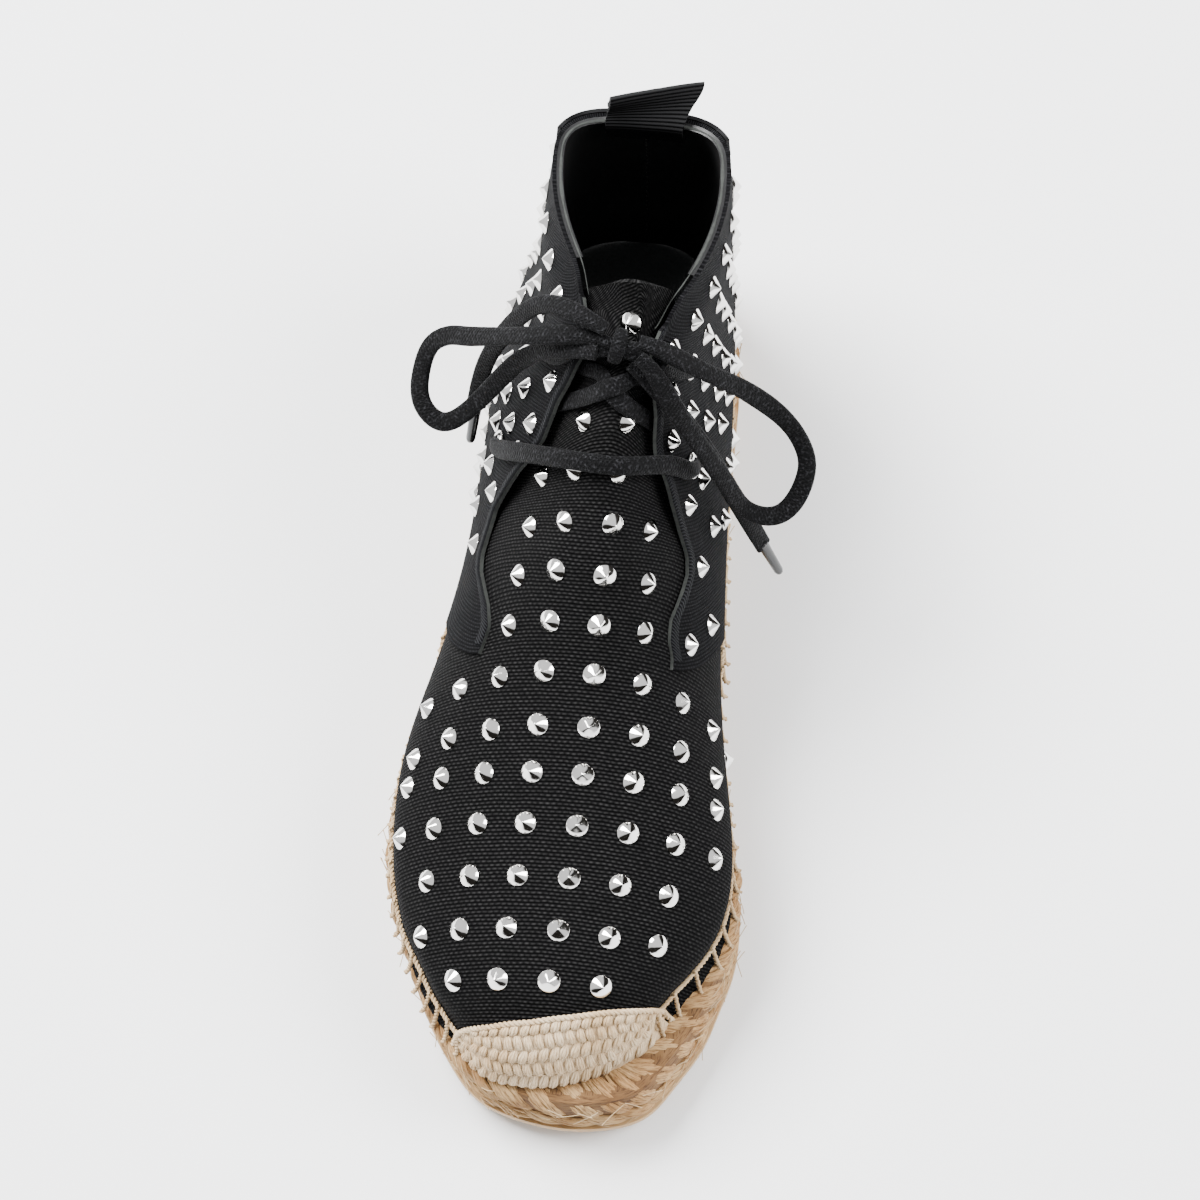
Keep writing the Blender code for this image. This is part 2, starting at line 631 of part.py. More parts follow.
def make_pull_loop():
    """Ribbon folded over the back of the collar, leaning back and twisted to the medial side."""
    half_width, thick, top_height = 11.5, 1.0, 11.5
    lean_across, lean_back = (3.5, 2.1), (6.0, 4.0)     # at the middle, and more at the medial edge
    outer_leg = QUARTER_THICK + GAP + BAND_THICK + 2 * GAP + thick / 2
    inner_leg = -3 * GAP - thick / 2
    back, low = last_point(COLLAR, math.pi), last_point(COLLAR - 1, math.pi)
    wall = np.linalg.norm(back - low)
    slope = (back - low) / wall
    # distance up from the collar's edge and distance outside the last, along the folded ribbon
    folds = [(-9.0, outer_leg), (-3.0, outer_leg), (1.5, outer_leg - 0.3), (5.0, 3.3),
             (top_height - 3.0, 3.0), (top_height - 0.8, 2.5), (top_height, 1.7),
             (top_height - 0.8, 0.9), (top_height - 3.0, 0.6), (5.0, 0.6), (1.5, inner_leg),
             (-3.0, inner_leg), (-9.0, inner_leg)]
    near_back = np.linspace(math.pi - 1.2, math.pi, 200)
    points, faces = [], []
    columns = 7
    for up, out in folds:
        lean = float(smooth_step((up - 1) / top_height))
        station = COLLAR + min(up, 0.0) / wall
        for j in range(columns):
            share = j / (columns - 1) * 2 - 1
            side = 1 if share > 0 else -1
            reach = np.abs(surface(station, side * near_back, out)[:, 0] - back[0])
            angle = side * float(np.interp(-abs(share) * half_width, -reach, near_back))
            place = surface(station, angle, out) + slope * max(up, 0.0)
            leaning = [first + more * share for first, more in (lean_across, lean_back)]
            points.append(place + np.array([*leaning, 0.0]) * lean)
    for i in range(len(folds) - 1):
        for j in range(columns - 1):
            a = i * columns + j
            faces.append((a, a + 1, a + columns + 1, a + columns))
    strip = solid("pull_loop", points, faces, RIBBON)
    thicken = strip.modifiers.new("thickness", "SOLIDIFY")
    thicken.thickness = thick * MM
    thicken.offset = 0.0
    thicken.use_even_offset = True
    return strip


# ---------------------------------------------------------------- laces

def surface_path(route, count):
    """Smooth path over the shoe through (station, degrees, offset, width) rows."""
    rows = natural_spline(route, np.linspace(0, len(route) - 1, count))
    angles = np.radians(rows[:, 1])
    path = surface(rows[:, 0], angles, rows[:, 2])
    normals = last_normal(rows[:, 0], angles)
    tangent = np.gradient(path, axis=0)
    return path, np.cross(normals, tangent), rows[:, 3]


def lace_piece(name, route, count=10):
    path, across, widths = surface_path(route, count)
    return ribbon_strip(name, path, across, widths, LACE_THICK, LACE)


def eyelet_plug(name, station, degrees):
    """Round stretch of lace that goes through an eyelet."""
    shape = bmesh.new()
    bmesh.ops.create_cone(shape, cap_ends=True, segments=10, radius1=1.8 * MM, radius2=1.8 * MM,
                          depth=5.3 * MM)
    mesh = bpy.data.meshes.new(name)
    shape.to_mesh(mesh)
    shape.free()
    mesh.transform(seat_matrix(station, math.radians(degrees), 3.45))
    return add_object(name, mesh, LACE)


def make_lace_bars():
    """Lower bar, the two crossings under the facings and the leads to the knot, joined."""
    on_eyelet, on_facing, on_tongue, under_facing = 6.1, 4.7, 0.85, 0.35
    lower_left, upper_left = EYELETS["lower_lateral"], EYELETS["upper_lateral"]
    lower_right, upper_right = EYELETS["lower_medial"], EYELETS["upper_medial"]
    wide, narrow = LACE_WIDTH, 3.8
    bar = lace_piece("lace_bars", [
        (lower_left[0], lower_left[1] - 3, on_eyelet, narrow), (10.35, -46, on_eyelet - 0.3, wide),
        (10.6, -33, on_facing - 0.3, wide), (10.85, 0, on_tongue + 0.3, wide),
        (10.7, 28, on_facing - 0.3, wide),
        (10.45, 37, on_eyelet - 0.3, wide), (lower_right[0], lower_right[1] + 3, on_eyelet, narrow)], 14)
    over = lace_piece("lace_over", [
        (lower_left[0], lower_left[1] - 3, under_facing, narrow), (11.2, -41, under_facing, 4.6),
        (12.1, -25, under_facing, 5.2), (12.6, -15, on_tongue, 5.2), (13.0, -5, on_tongue + 0.8, 5.2),
        (13.25, 4, on_tongue + 0.4, 5.0), (13.3, 13, under_facing, 4.6), (13.0, 30, under_facing, 4.6),
        (upper_right[0], upper_right[1] + 3, under_facing, narrow)], 18)
    under = lace_piece("lace_under", [
        (lower_right[0], lower_right[1] + 3, under_facing, narrow), (11.2, 33, under_facing, 4.6),
        (12.1, 17, under_facing, 5.2), (13.0, -5, on_tongue, 5.2), (13.3, -16, under_facing - 0.2, 4.4),
        (12.9, -35, under_facing - 0.1, 4.4), (upper_left[0], upper_left[1] - 3, under_facing, narrow)], 16)
    leads = [
        lace_piece("lead_left", [
            (upper_left[0], upper_left[1] - 3, on_eyelet, narrow), (12.8, -42, on_eyelet - 0.3, 4.8),
            (13.15, -34, on_facing + 0.4, wide), (13.35, -29, on_facing, narrow)], 8),
        lace_piece("lead_right", [
            (upper_right[0], upper_right[1] + 3, on_eyelet, narrow), (13.0, 36, on_eyelet - 0.3, 4.8),
            (13.3, 29, on_facing + 0.4, wide), (13.5, 23, on_facing, narrow)], 8)]
    plugs = [eyelet_plug("plug", *EYELETS[name]) for name in EYELETS]
    join_solids(bar, plugs[:1] + [over] + plugs[3:] + [leads[1]] + [under] + plugs[1:3] + [leads[0]])
    return bar


KNOT_CENTRE = (6.5, 42.7, 139.9)
KNOT_SIZE = (10.0, 8.0, 6.0)
# Routes of the bow, in millimetres.
CORD_ROUTES = {
    "lace_loop_left": [
        (0.5, 43.7, 141.4), (-5.5, 44.2, 141.4), (-11, 44.7, 139.9), (-18.5, 46.2, 135.4),
        (-27, 48.7, 128.9), (-38, 52.7, 119.4), (-44, 55.2, 114.4), (-50, 55.2, 107.9),
        (-53, 50.2, 100.4), (-52.5, 43.2, 94.4), (-46.5, 38.2, 92.4), (-39.5, 39.7, 95.9),
        (-32, 43.7, 104.4), (-25.5, 46.2, 114.4), (-19.5, 46.2, 123.4), (-12, 43.7, 132.9),
        (-4.5, 41.2, 138.4), (0.8, 39.7, 140.4)],
    "lace_loop_right": [
        (12.5, 43.7, 141.4), (19.5, 42.7, 138.9), (31, 42.2, 129.4), (38, 43.2, 121.9),
        (44.5, 43.7, 114.4), (54, 42.2, 103.4), (60, 37.7, 94.4), (61, 32.2, 88.9),
        (58, 25.7, 83.4), (52, 21.7, 81.4), (44.5, 21.7, 84.9), (39.5, 23.2, 95.4),
        (32, 26.7, 110.4), (24, 30.7, 126.4), (17.5, 35.7, 137.9), (12.8, 38.7, 141.6)],
    "lace_end_left": [
        (3, 45.2, 144.4), (-4.5, 48.7, 145.4), (-14, 53.7, 140.9), (-21.5, 55.7, 131.4),
        (-27.5, 55.7, 119.4), (-33, 54.2, 106.4), (-36, 51.7, 95.4), (-37.5, 47.7, 85.4)],
    "lace_end_right": [
        (10.5, 38.8, 137.4), (15.9, 36.1, 133.1), (21.2, 34.3, 125.1), (28.4, 32, 111.8),
        (35.3, 29.2, 95.9), (38.5, 28.7, 84.4), (42.5, 27.7, 72.4), (49.5, 24.7, 54.4)],
}


def cord_points(name):
    """Points of a cord's tube, about two and a half diameters apart, on a smooth curve."""
    route = CORD_ROUTES[name]
    fine = natural_spline(route, np.linspace(0, len(route) - 1, 400))
    run = np.concatenate([[0], np.cumsum(np.linalg.norm(np.diff(fine, axis=0), axis=1))])
    count = max(8, round(run[-1] / (2.2 * CORD_DIAMETER)))
    steps = np.linspace(0, run[-1], count + 1)
    return np.stack([np.interp(steps, run, fine[:, axis]) for axis in range(3)], -1)


def make_cord(name):
    curve = bpy.data.curves.new(name, "CURVE")
    curve.dimensions = "3D"
    curve.bevel_depth = CORD_DIAMETER / 2 * MM
    curve.bevel_resolution = 2
    curve.use_fill_caps = True
    points = cord_points(name)
    spline = curve.splines.new("POLY")
    spline.points.add(len(points) - 1)
    for target, place in zip(spline.points, points):
        target.co = (*(place * MM), 1)
    curve.materials.append(LACE)
    cord = bpy.data.objects.new(name, curve)
    PARTS.objects.link(cord)
    return cord


def make_tip(name, cord_name):
    """Hard tip on a free end, in line with the end of its lace."""
    last, before = np.array(CORD_ROUTES[cord_name][-1]), np.array(CORD_ROUTES[cord_name][-2])
    direction = Vector(last - before).normalized()
    shape = bmesh.new()
    bmesh.ops.create_cone(shape, cap_ends=True, segments=12, radius1=TIP_DIAMETER / 2 * MM,
                          radius2=TIP_DIAMETER / 2 * 0.8 * MM, depth=TIP_LENGTH * MM)
    mesh = bpy.data.meshes.new(name)
    shape.to_mesh(mesh)
    shape.free()
    tip = add_object(name, mesh, PLASTIC)
    tip.rotation_euler = direction.to_track_quat("Z", "Y").to_euler()
    tip.location = Vector(last * MM) + direction * (GAP + TIP_LENGTH / 2) * MM
    return tip


def make_knot():
    shape = bmesh.new()
    bmesh.ops.create_uvsphere(shape, u_segments=14, v_segments=9, radius=0.5)
    mesh = bpy.data.meshes.new("lace_knot")
    shape.to_mesh(mesh)
    shape.free()
    mesh.transform(Matrix.Diagonal((*[size * MM for size in KNOT_SIZE], 1)))
    knot = add_object("lace_knot", mesh, LACE)
    knot.location = Vector(KNOT_CENTRE) * MM
    knot.rotation_euler = (math.radians(38), 0, 0)
    return knot


make_outsole()
make_midsole()
make_upper()
make_insole()
make_tongue()
make_toe_patch()
make_collar_band()
make_pull_loop()
for number, place in enumerate(EYELETS.values(), 1):
    make_eyelet(f"eyelet_{number}", place[0], math.radians(place[1]))
make_lace_bars()
make_knot()
for cord_name in CORD_ROUTES:
    make_cord(cord_name)
make_tip("lace_tip_left", "lace_end_left")
make_tip("lace_tip_right", "lace_end_right")
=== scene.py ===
"""Looks of the lace-up espadrille boot, right shoe: canvas, studs, rope sole, laces and the studio.

The row frame is metres, +Z up, toe to -Y, lateral side to -X. Working sizes are millimetres. The
last and the sole's outline are the ones the solids are made from, so each piece fits its solid.
"""

import math

import bmesh
import bpy
import numpy as np
from mathutils import Matrix, Vector


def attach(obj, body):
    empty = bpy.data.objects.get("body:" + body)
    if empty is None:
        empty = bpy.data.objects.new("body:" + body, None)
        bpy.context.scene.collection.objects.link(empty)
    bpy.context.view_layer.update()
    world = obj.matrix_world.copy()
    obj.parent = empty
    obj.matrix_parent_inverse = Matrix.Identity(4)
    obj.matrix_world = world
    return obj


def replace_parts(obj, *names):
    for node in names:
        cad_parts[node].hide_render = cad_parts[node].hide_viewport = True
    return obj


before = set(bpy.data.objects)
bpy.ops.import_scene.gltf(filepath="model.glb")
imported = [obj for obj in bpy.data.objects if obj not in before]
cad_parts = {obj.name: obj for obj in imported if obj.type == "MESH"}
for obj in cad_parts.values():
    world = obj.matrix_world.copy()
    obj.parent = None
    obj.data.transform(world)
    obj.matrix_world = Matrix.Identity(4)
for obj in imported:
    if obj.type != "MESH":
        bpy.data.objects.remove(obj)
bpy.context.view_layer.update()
CHANCE = np.random.default_rng(11)

MM = 0.001
GAP = 0.3
VAMP_THICK = 2.0
QUARTER_THICK = 3.2
TONGUE_THICK = 1.6
TONGUE_DROP = 3.0               # of the tongue, under the facings and laces
BAND_THICK = 1.1
FEATHER_HEIGHT = 21.0
OUTSOLE_THICK = 3.0
SPRING_START = -92.0
SPRING_RISE = 5.5
SPRING_RUN = 50.0
HEEL_BACK = 147.0

SECTION_COLUMNS = "ridge_y ridge_z foot_y foot_z lat med rise peak box ridge_x foot_x".split()
SECTIONS = {
    "tip": (-137.5, 25.9, -137.5, 25.5, 0.0, 0.0, .50, .00, 2.4, -2.0, -2.0),
    "nose": (-136.0, 32.6, -136.0, 21.0, 10.6, 7.6, .50, .00, 2.4, -2.8, -2.8),
    "toe": (-131.5, 40.2, -131.5, 17.0, 18.8, 17.1, .45, .00, 2.6, -1.1, -1.1),
    "toe_box": (-123.4, 46.4, -123.4, 13.0, 29.0, 26.6, .42, .00, 3.0, 1.1, 0.5),
    "cap": (-113.7, 52.2, -113.7, 11.0, 35.8, 33.4, .40, .00, 3.4, 0.5, 0.0),
    "small_toe": (-94.0, 57.5, -94.0, 11.0, 46.2, 44.2, .38, .04, 3.8, 2.1, 1.1),
    "ball": (-70.0, 65.0, -70.0, 11.0, 51.0, 47.0, .36, .08, 4.0, 3.0, 0.0),
    "waist": (-46.0, 74.5, -42.0, 11.0, 50.0, 42.5, .34, .12, 4.0, 3.0, -0.5),
    "instep": (-29.0, 83.5, -8.0, 11.0, 44.0, 38.0, .33, .15, 4.0, 3.0, -0.5),
    "throat": (-11.0, 96.5, 35.0, 11.0, 38.0, 34.5, .32, .16, 3.8, 3.0, 0.0),
    "arch": (5.0, 109.5, 85.0, 11.0, 36.5, 32.0, .29, .14, 3.2, 4.0, 0.0),
    "heel": (17.5, 119.5, 125.0, 11.5, 35.5, 29.3, .27, .10, 2.8, 5.0, 0.5),
    "seat": (26.0, 126.0, 141.0, 24.0, 31.0, 26.5, .27, .10, 2.5, 6.0, 1.5),
    "counter": (33.5, 131.0, 141.5, 50.0, 26.5, 25.0, .29, .14, 2.6, 7.0, 2.5),
    "ankle": (42.0, 136.0, 140.0, 80.0, 25.4, 24.0, .31, .22, 3.1, 9.0, 3.4),
    "collar": (51.0, 141.5, 133.3, 109.0, 23.4, 22.8, .24, .34, 3.5, 11.0, 4.0),
    "tongue_top": (57.5, 151.0, 132.5, 128.0, 23.3, 23.0, .34, .12, 3.4, 10.0, 5.0),
}
SECTION_TABLE = np.array(list(SECTIONS.values()))
STATION = {name: number for number, name in enumerate(SECTIONS)}
COLLAR = STATION["collar"]

# Outline of the sole: y, then how far it reaches to the lateral and to the medial side.
SOLE_ROWS = [
    (-147.0, -7.0, 7.0), (-145.5, 5.5, 19.5), (-140.0, 19.5, 31.0), (-129.0, 29.5, 38.5),
    (-117.0, 37.0, 45.0), (-104.0, 43.2, 49.0), (-92.0, 48.3, 52.0), (-78.0, 53.0, 52.5),
    (-65.0, 55.3, 50.5), (-45.0, 54.0, 46.0), (-20.0, 49.0, 40.5), (10.0, 42.5, 37.5),
    (45.0, 38.5, 36.5), (85.0, 37.0, 36.0), (112.0, 34.5, 34.5), (130.0, 28.0, 28.0),
    (141.0, 17.0, 17.0), (HEEL_BACK, 0.0, 0.0),
]

# How far the canvas is drawn in above its seam with the sole: y, lateral, medial.
PINCH_ROWS = [
    (-137.0, 0.0, 0.0), (-130.0, 1.2, 0.8), (-122.0, 2.6, 2.4), (-110.0, 2.6, 3.4),
    (-96.0, 1.0, 3.3), (-80.0, 0.8, 2.8), (-60.0, 0.8, 2.4), (0.0, 0.8, 1.5), (60.0, 0.6, 0.8),
]
PINCH_MIDDLE = -2.0

# Angle from the ridge, in degrees, of the quarter's front edge and of the hidden edge of the
# throat opening: station, lateral, medial.
FACING_ROWS = [
    (0.0, 46, 40), (7.0, 46, 40), (7.9, 46, 41), (8.15, 45, 42), (8.35, 44.5, 40.5), (8.6, 48, 41),
    (8.8, 53, 44.5), (8.95, 57.5, 47), (9.1, 58.5, 49), (9.3, 57, 48.5), (9.6, 54, 43),
    (10.0, 45, 36.5), (10.5, 34.5, 30), (10.9, 30, 25.5), (11.6, 27.5, 23.5), (12.6, 26, 21.5),
    (13.4, 24, 18), (14.0, 25.5, 16), (14.4, 30, 15.5), (15.0, 38, 18), (16.0, 38, 18),
]
HOLE_ROWS = [
    (0.0, 62, 64), (6.0, 62, 64), (9.3, 67, 65), (10.4, 67, 62), (12.5, 60, 56), (15.0, 52, 47),
    (16.0, 50, 43),
]
QUARTER_FRONT = 8.0
THROAT_FRONT = 9.3
QUARTER_SWEEP = 0.5
CORNER_ROUND = 0.45
TONGUE_TOP = 15.93
TONGUE_ARCH = 0.9               # stations by which that edge is lower 36 degrees from the ridge
# Upper edge of the toe patch, further back on the medial side: degrees from the ridge, station.
PATCH_EDGE = [(-100, 2.55), (-35, 2.55), (-8, 2.68), (15, 2.96), (36, 3.3), (63, 3.68), (100, 3.95)]
PATCH_TOP = 2.78                # where that edge crosses the ridge
EYELETS = {"eyelet_1": (10.3, -57), "eyelet_2": (12.5, -49), "eyelet_3": (10.4, 46),
           "eyelet_4": (12.65, 44)}

# Routes of the bow, in millimetres.
CORD_ROUTES = {
    "lace_loop_left": [
        (0.5, 43.7, 141.4), (-5.5, 44.2, 141.4), (-11, 44.7, 139.9), (-18.5, 46.2, 135.4),
        (-27, 48.7, 128.9), (-38, 52.7, 119.4), (-44, 55.2, 114.4), (-50, 55.2, 107.9),
        (-53, 50.2, 100.4), (-52.5, 43.2, 94.4), (-46.5, 38.2, 92.4), (-39.5, 39.7, 95.9),
        (-32, 43.7, 104.4), (-25.5, 46.2, 114.4), (-19.5, 46.2, 123.4), (-12, 43.7, 132.9),
        (-4.5, 41.2, 138.4), (0.8, 39.7, 140.4)],
    "lace_loop_right": [
        (12.5, 43.7, 141.4), (19.5, 42.7, 138.9), (31, 42.2, 129.4), (38, 43.2, 121.9),
        (44.5, 43.7, 114.4), (54, 42.2, 103.4), (60, 37.7, 94.4), (61, 32.2, 88.9),
        (58, 25.7, 83.4), (52, 21.7, 81.4), (44.5, 21.7, 84.9), (39.5, 23.2, 95.4),
        (32, 26.7, 110.4), (24, 30.7, 126.4), (17.5, 35.7, 137.9), (12.8, 38.7, 141.6)],
    "lace_end_left": [
        (3, 45.2, 144.4), (-4.5, 48.7, 145.4), (-14, 53.7, 140.9), (-21.5, 55.7, 131.4),
        (-27.5, 55.7, 119.4), (-33, 54.2, 106.4), (-36, 51.7, 95.4), (-37.5, 47.7, 85.4)],
    "lace_end_right": [
        (10.5, 38.8, 137.4), (15.9, 36.1, 133.1), (21.2, 34.3, 125.1), (28.4, 32, 111.8),
        (35.3, 29.2, 95.9), (38.5, 28.7, 84.4), (42.5, 27.7, 72.4), (49.5, 24.7, 54.4)],
}
KNOT_CENTRE = (6.5, 42.7, 139.9)
LACE_WIDTH = 5.6
LACE_THICK = 2.2


# ---------------------------------------------------------------- camera and studio

# The view: azimuth and elevation of the camera, its distance, and the point it is aimed at.
VIEW_AZIMUTH, VIEW_ELEVATION = math.radians(5.3), math.radians(66.0)
VIEW_DISTANCE = 1250.0
VIEW_LENS = 125.6
PAIR_MIDDLE = (47.5, -0.5)      # of a picture of both shoes: right and up from this one
AIM = (1.8, 9.0, 40.0)          # shoe's middle as framed


def new_object(name, data):
    """Object of that data, linked into the scene."""
    thing = bpy.data.objects.new(name, data)
    bpy.context.scene.collection.objects.link(thing)
    return thing


def view_axes():
    """Right, up and backward directions of the view."""
    azimuth, elevation = VIEW_AZIMUTH, VIEW_ELEVATION
    back = Vector((math.sin(azimuth) * math.cos(elevation), -math.cos(azimuth) * math.cos(elevation),
                   math.sin(elevation)))
    right = Vector((math.cos(azimuth), math.sin(azimuth), 0))
    return right, back.cross(right), back


def make_camera():
    """Camera of a pair's picture, turned a little to frame the one shoe."""
    right, up, back = view_axes()
    place = Vector((0, 0, AIM[2])) + right * PAIR_MIDDLE[0] + up * PAIR_MIDDLE[1]
    place = place + back * VIEW_DISTANCE
    data = bpy.data.cameras.new("camera")
    data.lens = VIEW_LENS
    data.sensor_width = 36
    data.clip_start, data.clip_end = 0.05, 20
    camera = new_object("camera", data)
    away = (place - Vector(AIM)).normalized()
    side = up.cross(away).normalized()
    turn = Matrix((side, away.cross(side), away)).transposed().to_4x4()
    turn.translation = place * MM
    camera.matrix_world = turn
    bpy.context.scene.camera = camera


def area_light(name, place, size, power):
    """White rectangular lamp aimed at the shoe; its place is in metres, its power in watts."""
    data = bpy.data.lights.new(name, "AREA")
    data.shape = "RECTANGLE"
    data.size, data.size_y = size
    data.energy = power
    light = new_object(name, data)
    light.location = place
    direction = Vector((0, 0, 0.05)) - Vector(place)
    light.rotation_euler = direction.to_track_quat("-Z", "Y").to_euler()


STUDIO_STRENGTH = 1.25
# Dark parts of the surroundings: heading, how far along it they are full and end, and their rise.
STUDIO_DARK = [((0, -1, 0), 0.70, 0.58, 0.66), ((0, 1, 0), 0.95, 0.88, 0.45),
               ((0.8, 0.6, 0), 0.84, 0.74, 0.62)]


def make_studio():
    """White surroundings with dark parts in front, behind and on the medial side, and soft lights."""
    world = bpy.data.worlds.new("studio")
    bpy.context.scene.world = world
    surroundings = NodeTree(world)
    background = surroundings.nodes["Background"]
    background.inputs["Strength"].default_value = STUDIO_STRENGTH
    ray = surroundings.add("TexCoord").outputs["Generated"]
    height = surroundings.add("SeparateXYZ", {0: ray}).outputs[2]
    tone, dark = (0.97, 0.98, 1.0), (0.02, 0.018, 0.016)
    for heading, full, none, rise in STUDIO_DARK:
        along = surroundings.add("VectorMath", {0: ray, 1: heading}, operation="DOT_PRODUCT")
        gap = surroundings.add("MapRange", {0: along.outputs["Value"], 1: full, 2: none})
        above = surroundings.add("MapRange", {0: height, 1: rise, 2: rise + 0.08})
        either = surroundings.math("MAXIMUM", gap.outputs[0], above.outputs[0])
        tone = surroundings.mix(either, dark, tone)
    surroundings.put(background.inputs["Color"], tone)
    area_light("key", (-0.9, 0.5, 1.6), (1.1, 1.1), 145)
    area_light("fill", (1.3, 0.1, 1.3), (1.0, 1.0), 60)
    mesh = bpy.data.meshes.new("floor")
    half = 3.0
    mesh.from_pydata([(-half, -half, 0), (half, -half, 0), (half, half, 0), (-half, half, 0)], [],
                     [(0, 1, 2, 3)])
    floor = new_object("floor", mesh)
    mesh.materials.append(plain("pale_floor", (0.83, 0.835, 0.84), 0.8))


# ---------------------------------------------------------------- curves and surfaces

def natural_spline(rows, parameter):
    """Smooth curve through the rows, one unit of parameter a row."""
    rows = np.asarray(rows, float)
    count = len(rows)
    matrix = np.eye(count)
    right = np.zeros_like(rows)
    for i in range(1, count - 1):
        matrix[i, i - 1:i + 2] = (1, 4, 1)
        right[i] = 6 * (rows[i - 1] - 2 * rows[i] + rows[i + 1])
    bend = np.linalg.solve(matrix, right)
    parameter = np.asarray(parameter, float)
    low = np.clip(np.floor(parameter).astype(int), 0, count - 2)
    t = (parameter - low)[..., None]
    return (rows[low] * (1 - t) + rows[low + 1] * t
            + (((1 - t) ** 3 - (1 - t)) * bend[low] + (t ** 3 - t) * bend[low + 1]) / 6)


def smooth_step(value):
    """0 below 0 and 1 above 1, with an even slope at both ends."""
    value = np.clip(value, 0, 1)
    return value * value * (3 - 2 * value)


def unit(vectors):
    """The vectors at length 1."""
    vectors = np.asarray(vectors, float)
    return vectors / np.maximum(np.linalg.norm(vectors, axis=-1, keepdims=True), 1e-9)


def spring(y):
    """Lift of the sole at the toe."""
    return SPRING_RISE * np.clip((SPRING_START - np.asarray(y)) / SPRING_RUN, 0, None) ** 2


def feather(y):
    """Height of the midsole's top, where the upper begins."""
    return FEATHER_HEIGHT + spring(y)


def last_point(station, angle):
    """Point on the last: angle 0 on the ridge, +-pi at the foot point, medial positive."""
    station, angle = np.broadcast_arrays(np.asarray(station, float), np.asarray(angle, float))
    section = dict(zip(SECTION_COLUMNS, np.moveaxis(natural_spline(SECTION_TABLE, station), -1, 0)))
    half = np.where(angle >= 0, section["med"], section["lat"])
    sine, cosine = np.sin(np.abs(angle)), np.cos(angle)
    power = 2 / section["box"]
    is_upper = cosine >= 0
    rise = section["rise"]
    below = np.clip(-cosine, 0, 1) ** power
    across = np.where(is_upper, sine * (1 - section["peak"] * cosine ** 2),
                      np.clip(sine, 0, 1) ** power)
    height = np.where(is_upper, rise + (1 - rise) * cosine, rise * (1 - below))
    point = [section["foot_" + axis] + (section["ridge_" + axis] - section["foot_" + axis]) * height
             for axis in "xyz"]
    point[0] = point[0] + np.sign(angle) * half * across
    return np.stack(point, -1)


def last_normal(station, angle):
    """Outward direction of the last's surface."""
    step = 1e-3
    station, angle = np.broadcast_arrays(np.asarray(station, float), np.asarray(angle, float))
    safe = np.maximum(station, 0.02)
    along = last_point(safe + step, angle) - last_point(safe - step, angle)
    around = last_point(safe, angle + step) - last_point(safe, angle - step)
    normal = unit(np.cross(around, along))
    return np.where((station < 0.01)[..., None], np.array([0.0, -0.97, 0.24]), normal)


def pinch(point, normal):
    """How far the welt's stitches pull the canvas in above the sole: y, lateral, medial."""
    table = np.array(PINCH_ROWS, float)
    sides = [np.interp(point[..., 1], table[:, 0], table[:, column]) for column in (1, 2)]
    amount = np.where(point[..., 0] < PINCH_MIDDLE, sides[0], sides[1])
    lift = point[..., 2] - feather(point[..., 1])
    band = smooth_step(lift / 5.0) * (1 - smooth_step((lift - 7.0) / 12.0))
    flat = normal * np.array([1.0, 1.0, 0.0])
    return -unit(flat) * (amount * band * np.linalg.norm(flat, axis=-1))[..., None]


def surface(station, angle, offset):
    """Point at an offset outside the last, with the pinch above the sole."""
    offset = np.asarray(offset, float)[..., None]
    normal = last_normal(station, angle)
    point = last_point(station, angle) + normal * offset
    return point + pinch(point, normal)


def table_angle(rows, station, side):
    """Signed angle from one of the two angle tables."""
    table = np.array(rows, float)
    return side * np.radians(np.interp(station, table[:, 0], table[:, 1 if side < 0 else 2]))


def wall_angle(station, offset, side, lift=0.0):
    """Signed angle where the offset surface is at that lift above the midsole."""
    station = np.asarray(station, float)
    low, high = np.full(station.shape, 0.6), np.full(station.shape, math.pi)
    for _ in range(36):
        middle = (low + high) / 2
        point = surface(station, side * middle, offset)
        above = point[..., 2] > feather(point[..., 1]) + GAP + lift
        low, high = np.where(above, middle, low), np.where(above, high, middle)
    return side * low


def back_station(offset=QUARTER_THICK, lift=0.0):
    """Station whose foot point first clears that height, so its section closes at the back."""
    low, high = float(STATION["heel"]), float(STATION["counter"])
    for _ in range(36):
        middle = (low + high) / 2
        heights = [surface(middle, math.pi, level)[2] for level in (0.0, offset)]
        if min(heights) > FEATHER_HEIGHT + GAP + lift:
            high = middle
        else:
            low = middle
    return high


BACK_STATION = back_station()


def run_length(points, axis=0):
    """Distance along a path, or along the rows or columns of a grid, at each of its points."""
    steps = np.linalg.norm(np.diff(points, axis=axis), axis=-1)
    return np.insert(np.cumsum(steps, axis=axis), 0, 0, axis=axis)


def closed_run(loop):
    """Distance round a closed path at each of its points, and once more at the first."""
    return run_length(np.vstack([loop, loop[:1]]))


def nearest(values, value):
    """Number of the value that comes closest."""
    return int(np.argmin(np.abs(values - value)))


def nearest_point(points, place):
    """Number of the point that lies closest to a place."""
    return int(np.argmin(np.linalg.norm(points - place, axis=1)))


def resample(points, count):
    """Path with its points at even distances."""
    run = run_length(points)
    marks = np.linspace(0, run[-1], count)
    return np.stack([np.interp(marks, run, points[:, axis]) for axis in range(points.shape[1])], -1)


def even_angles(station, offset, start, end, count):
    """Angles from start to end at even distances along the section."""
    fine = np.linspace(start, end, 120)
    run = run_length(surface(station, fine, offset))
    return np.interp(np.linspace(0, run[-1], count + 1), run, fine)


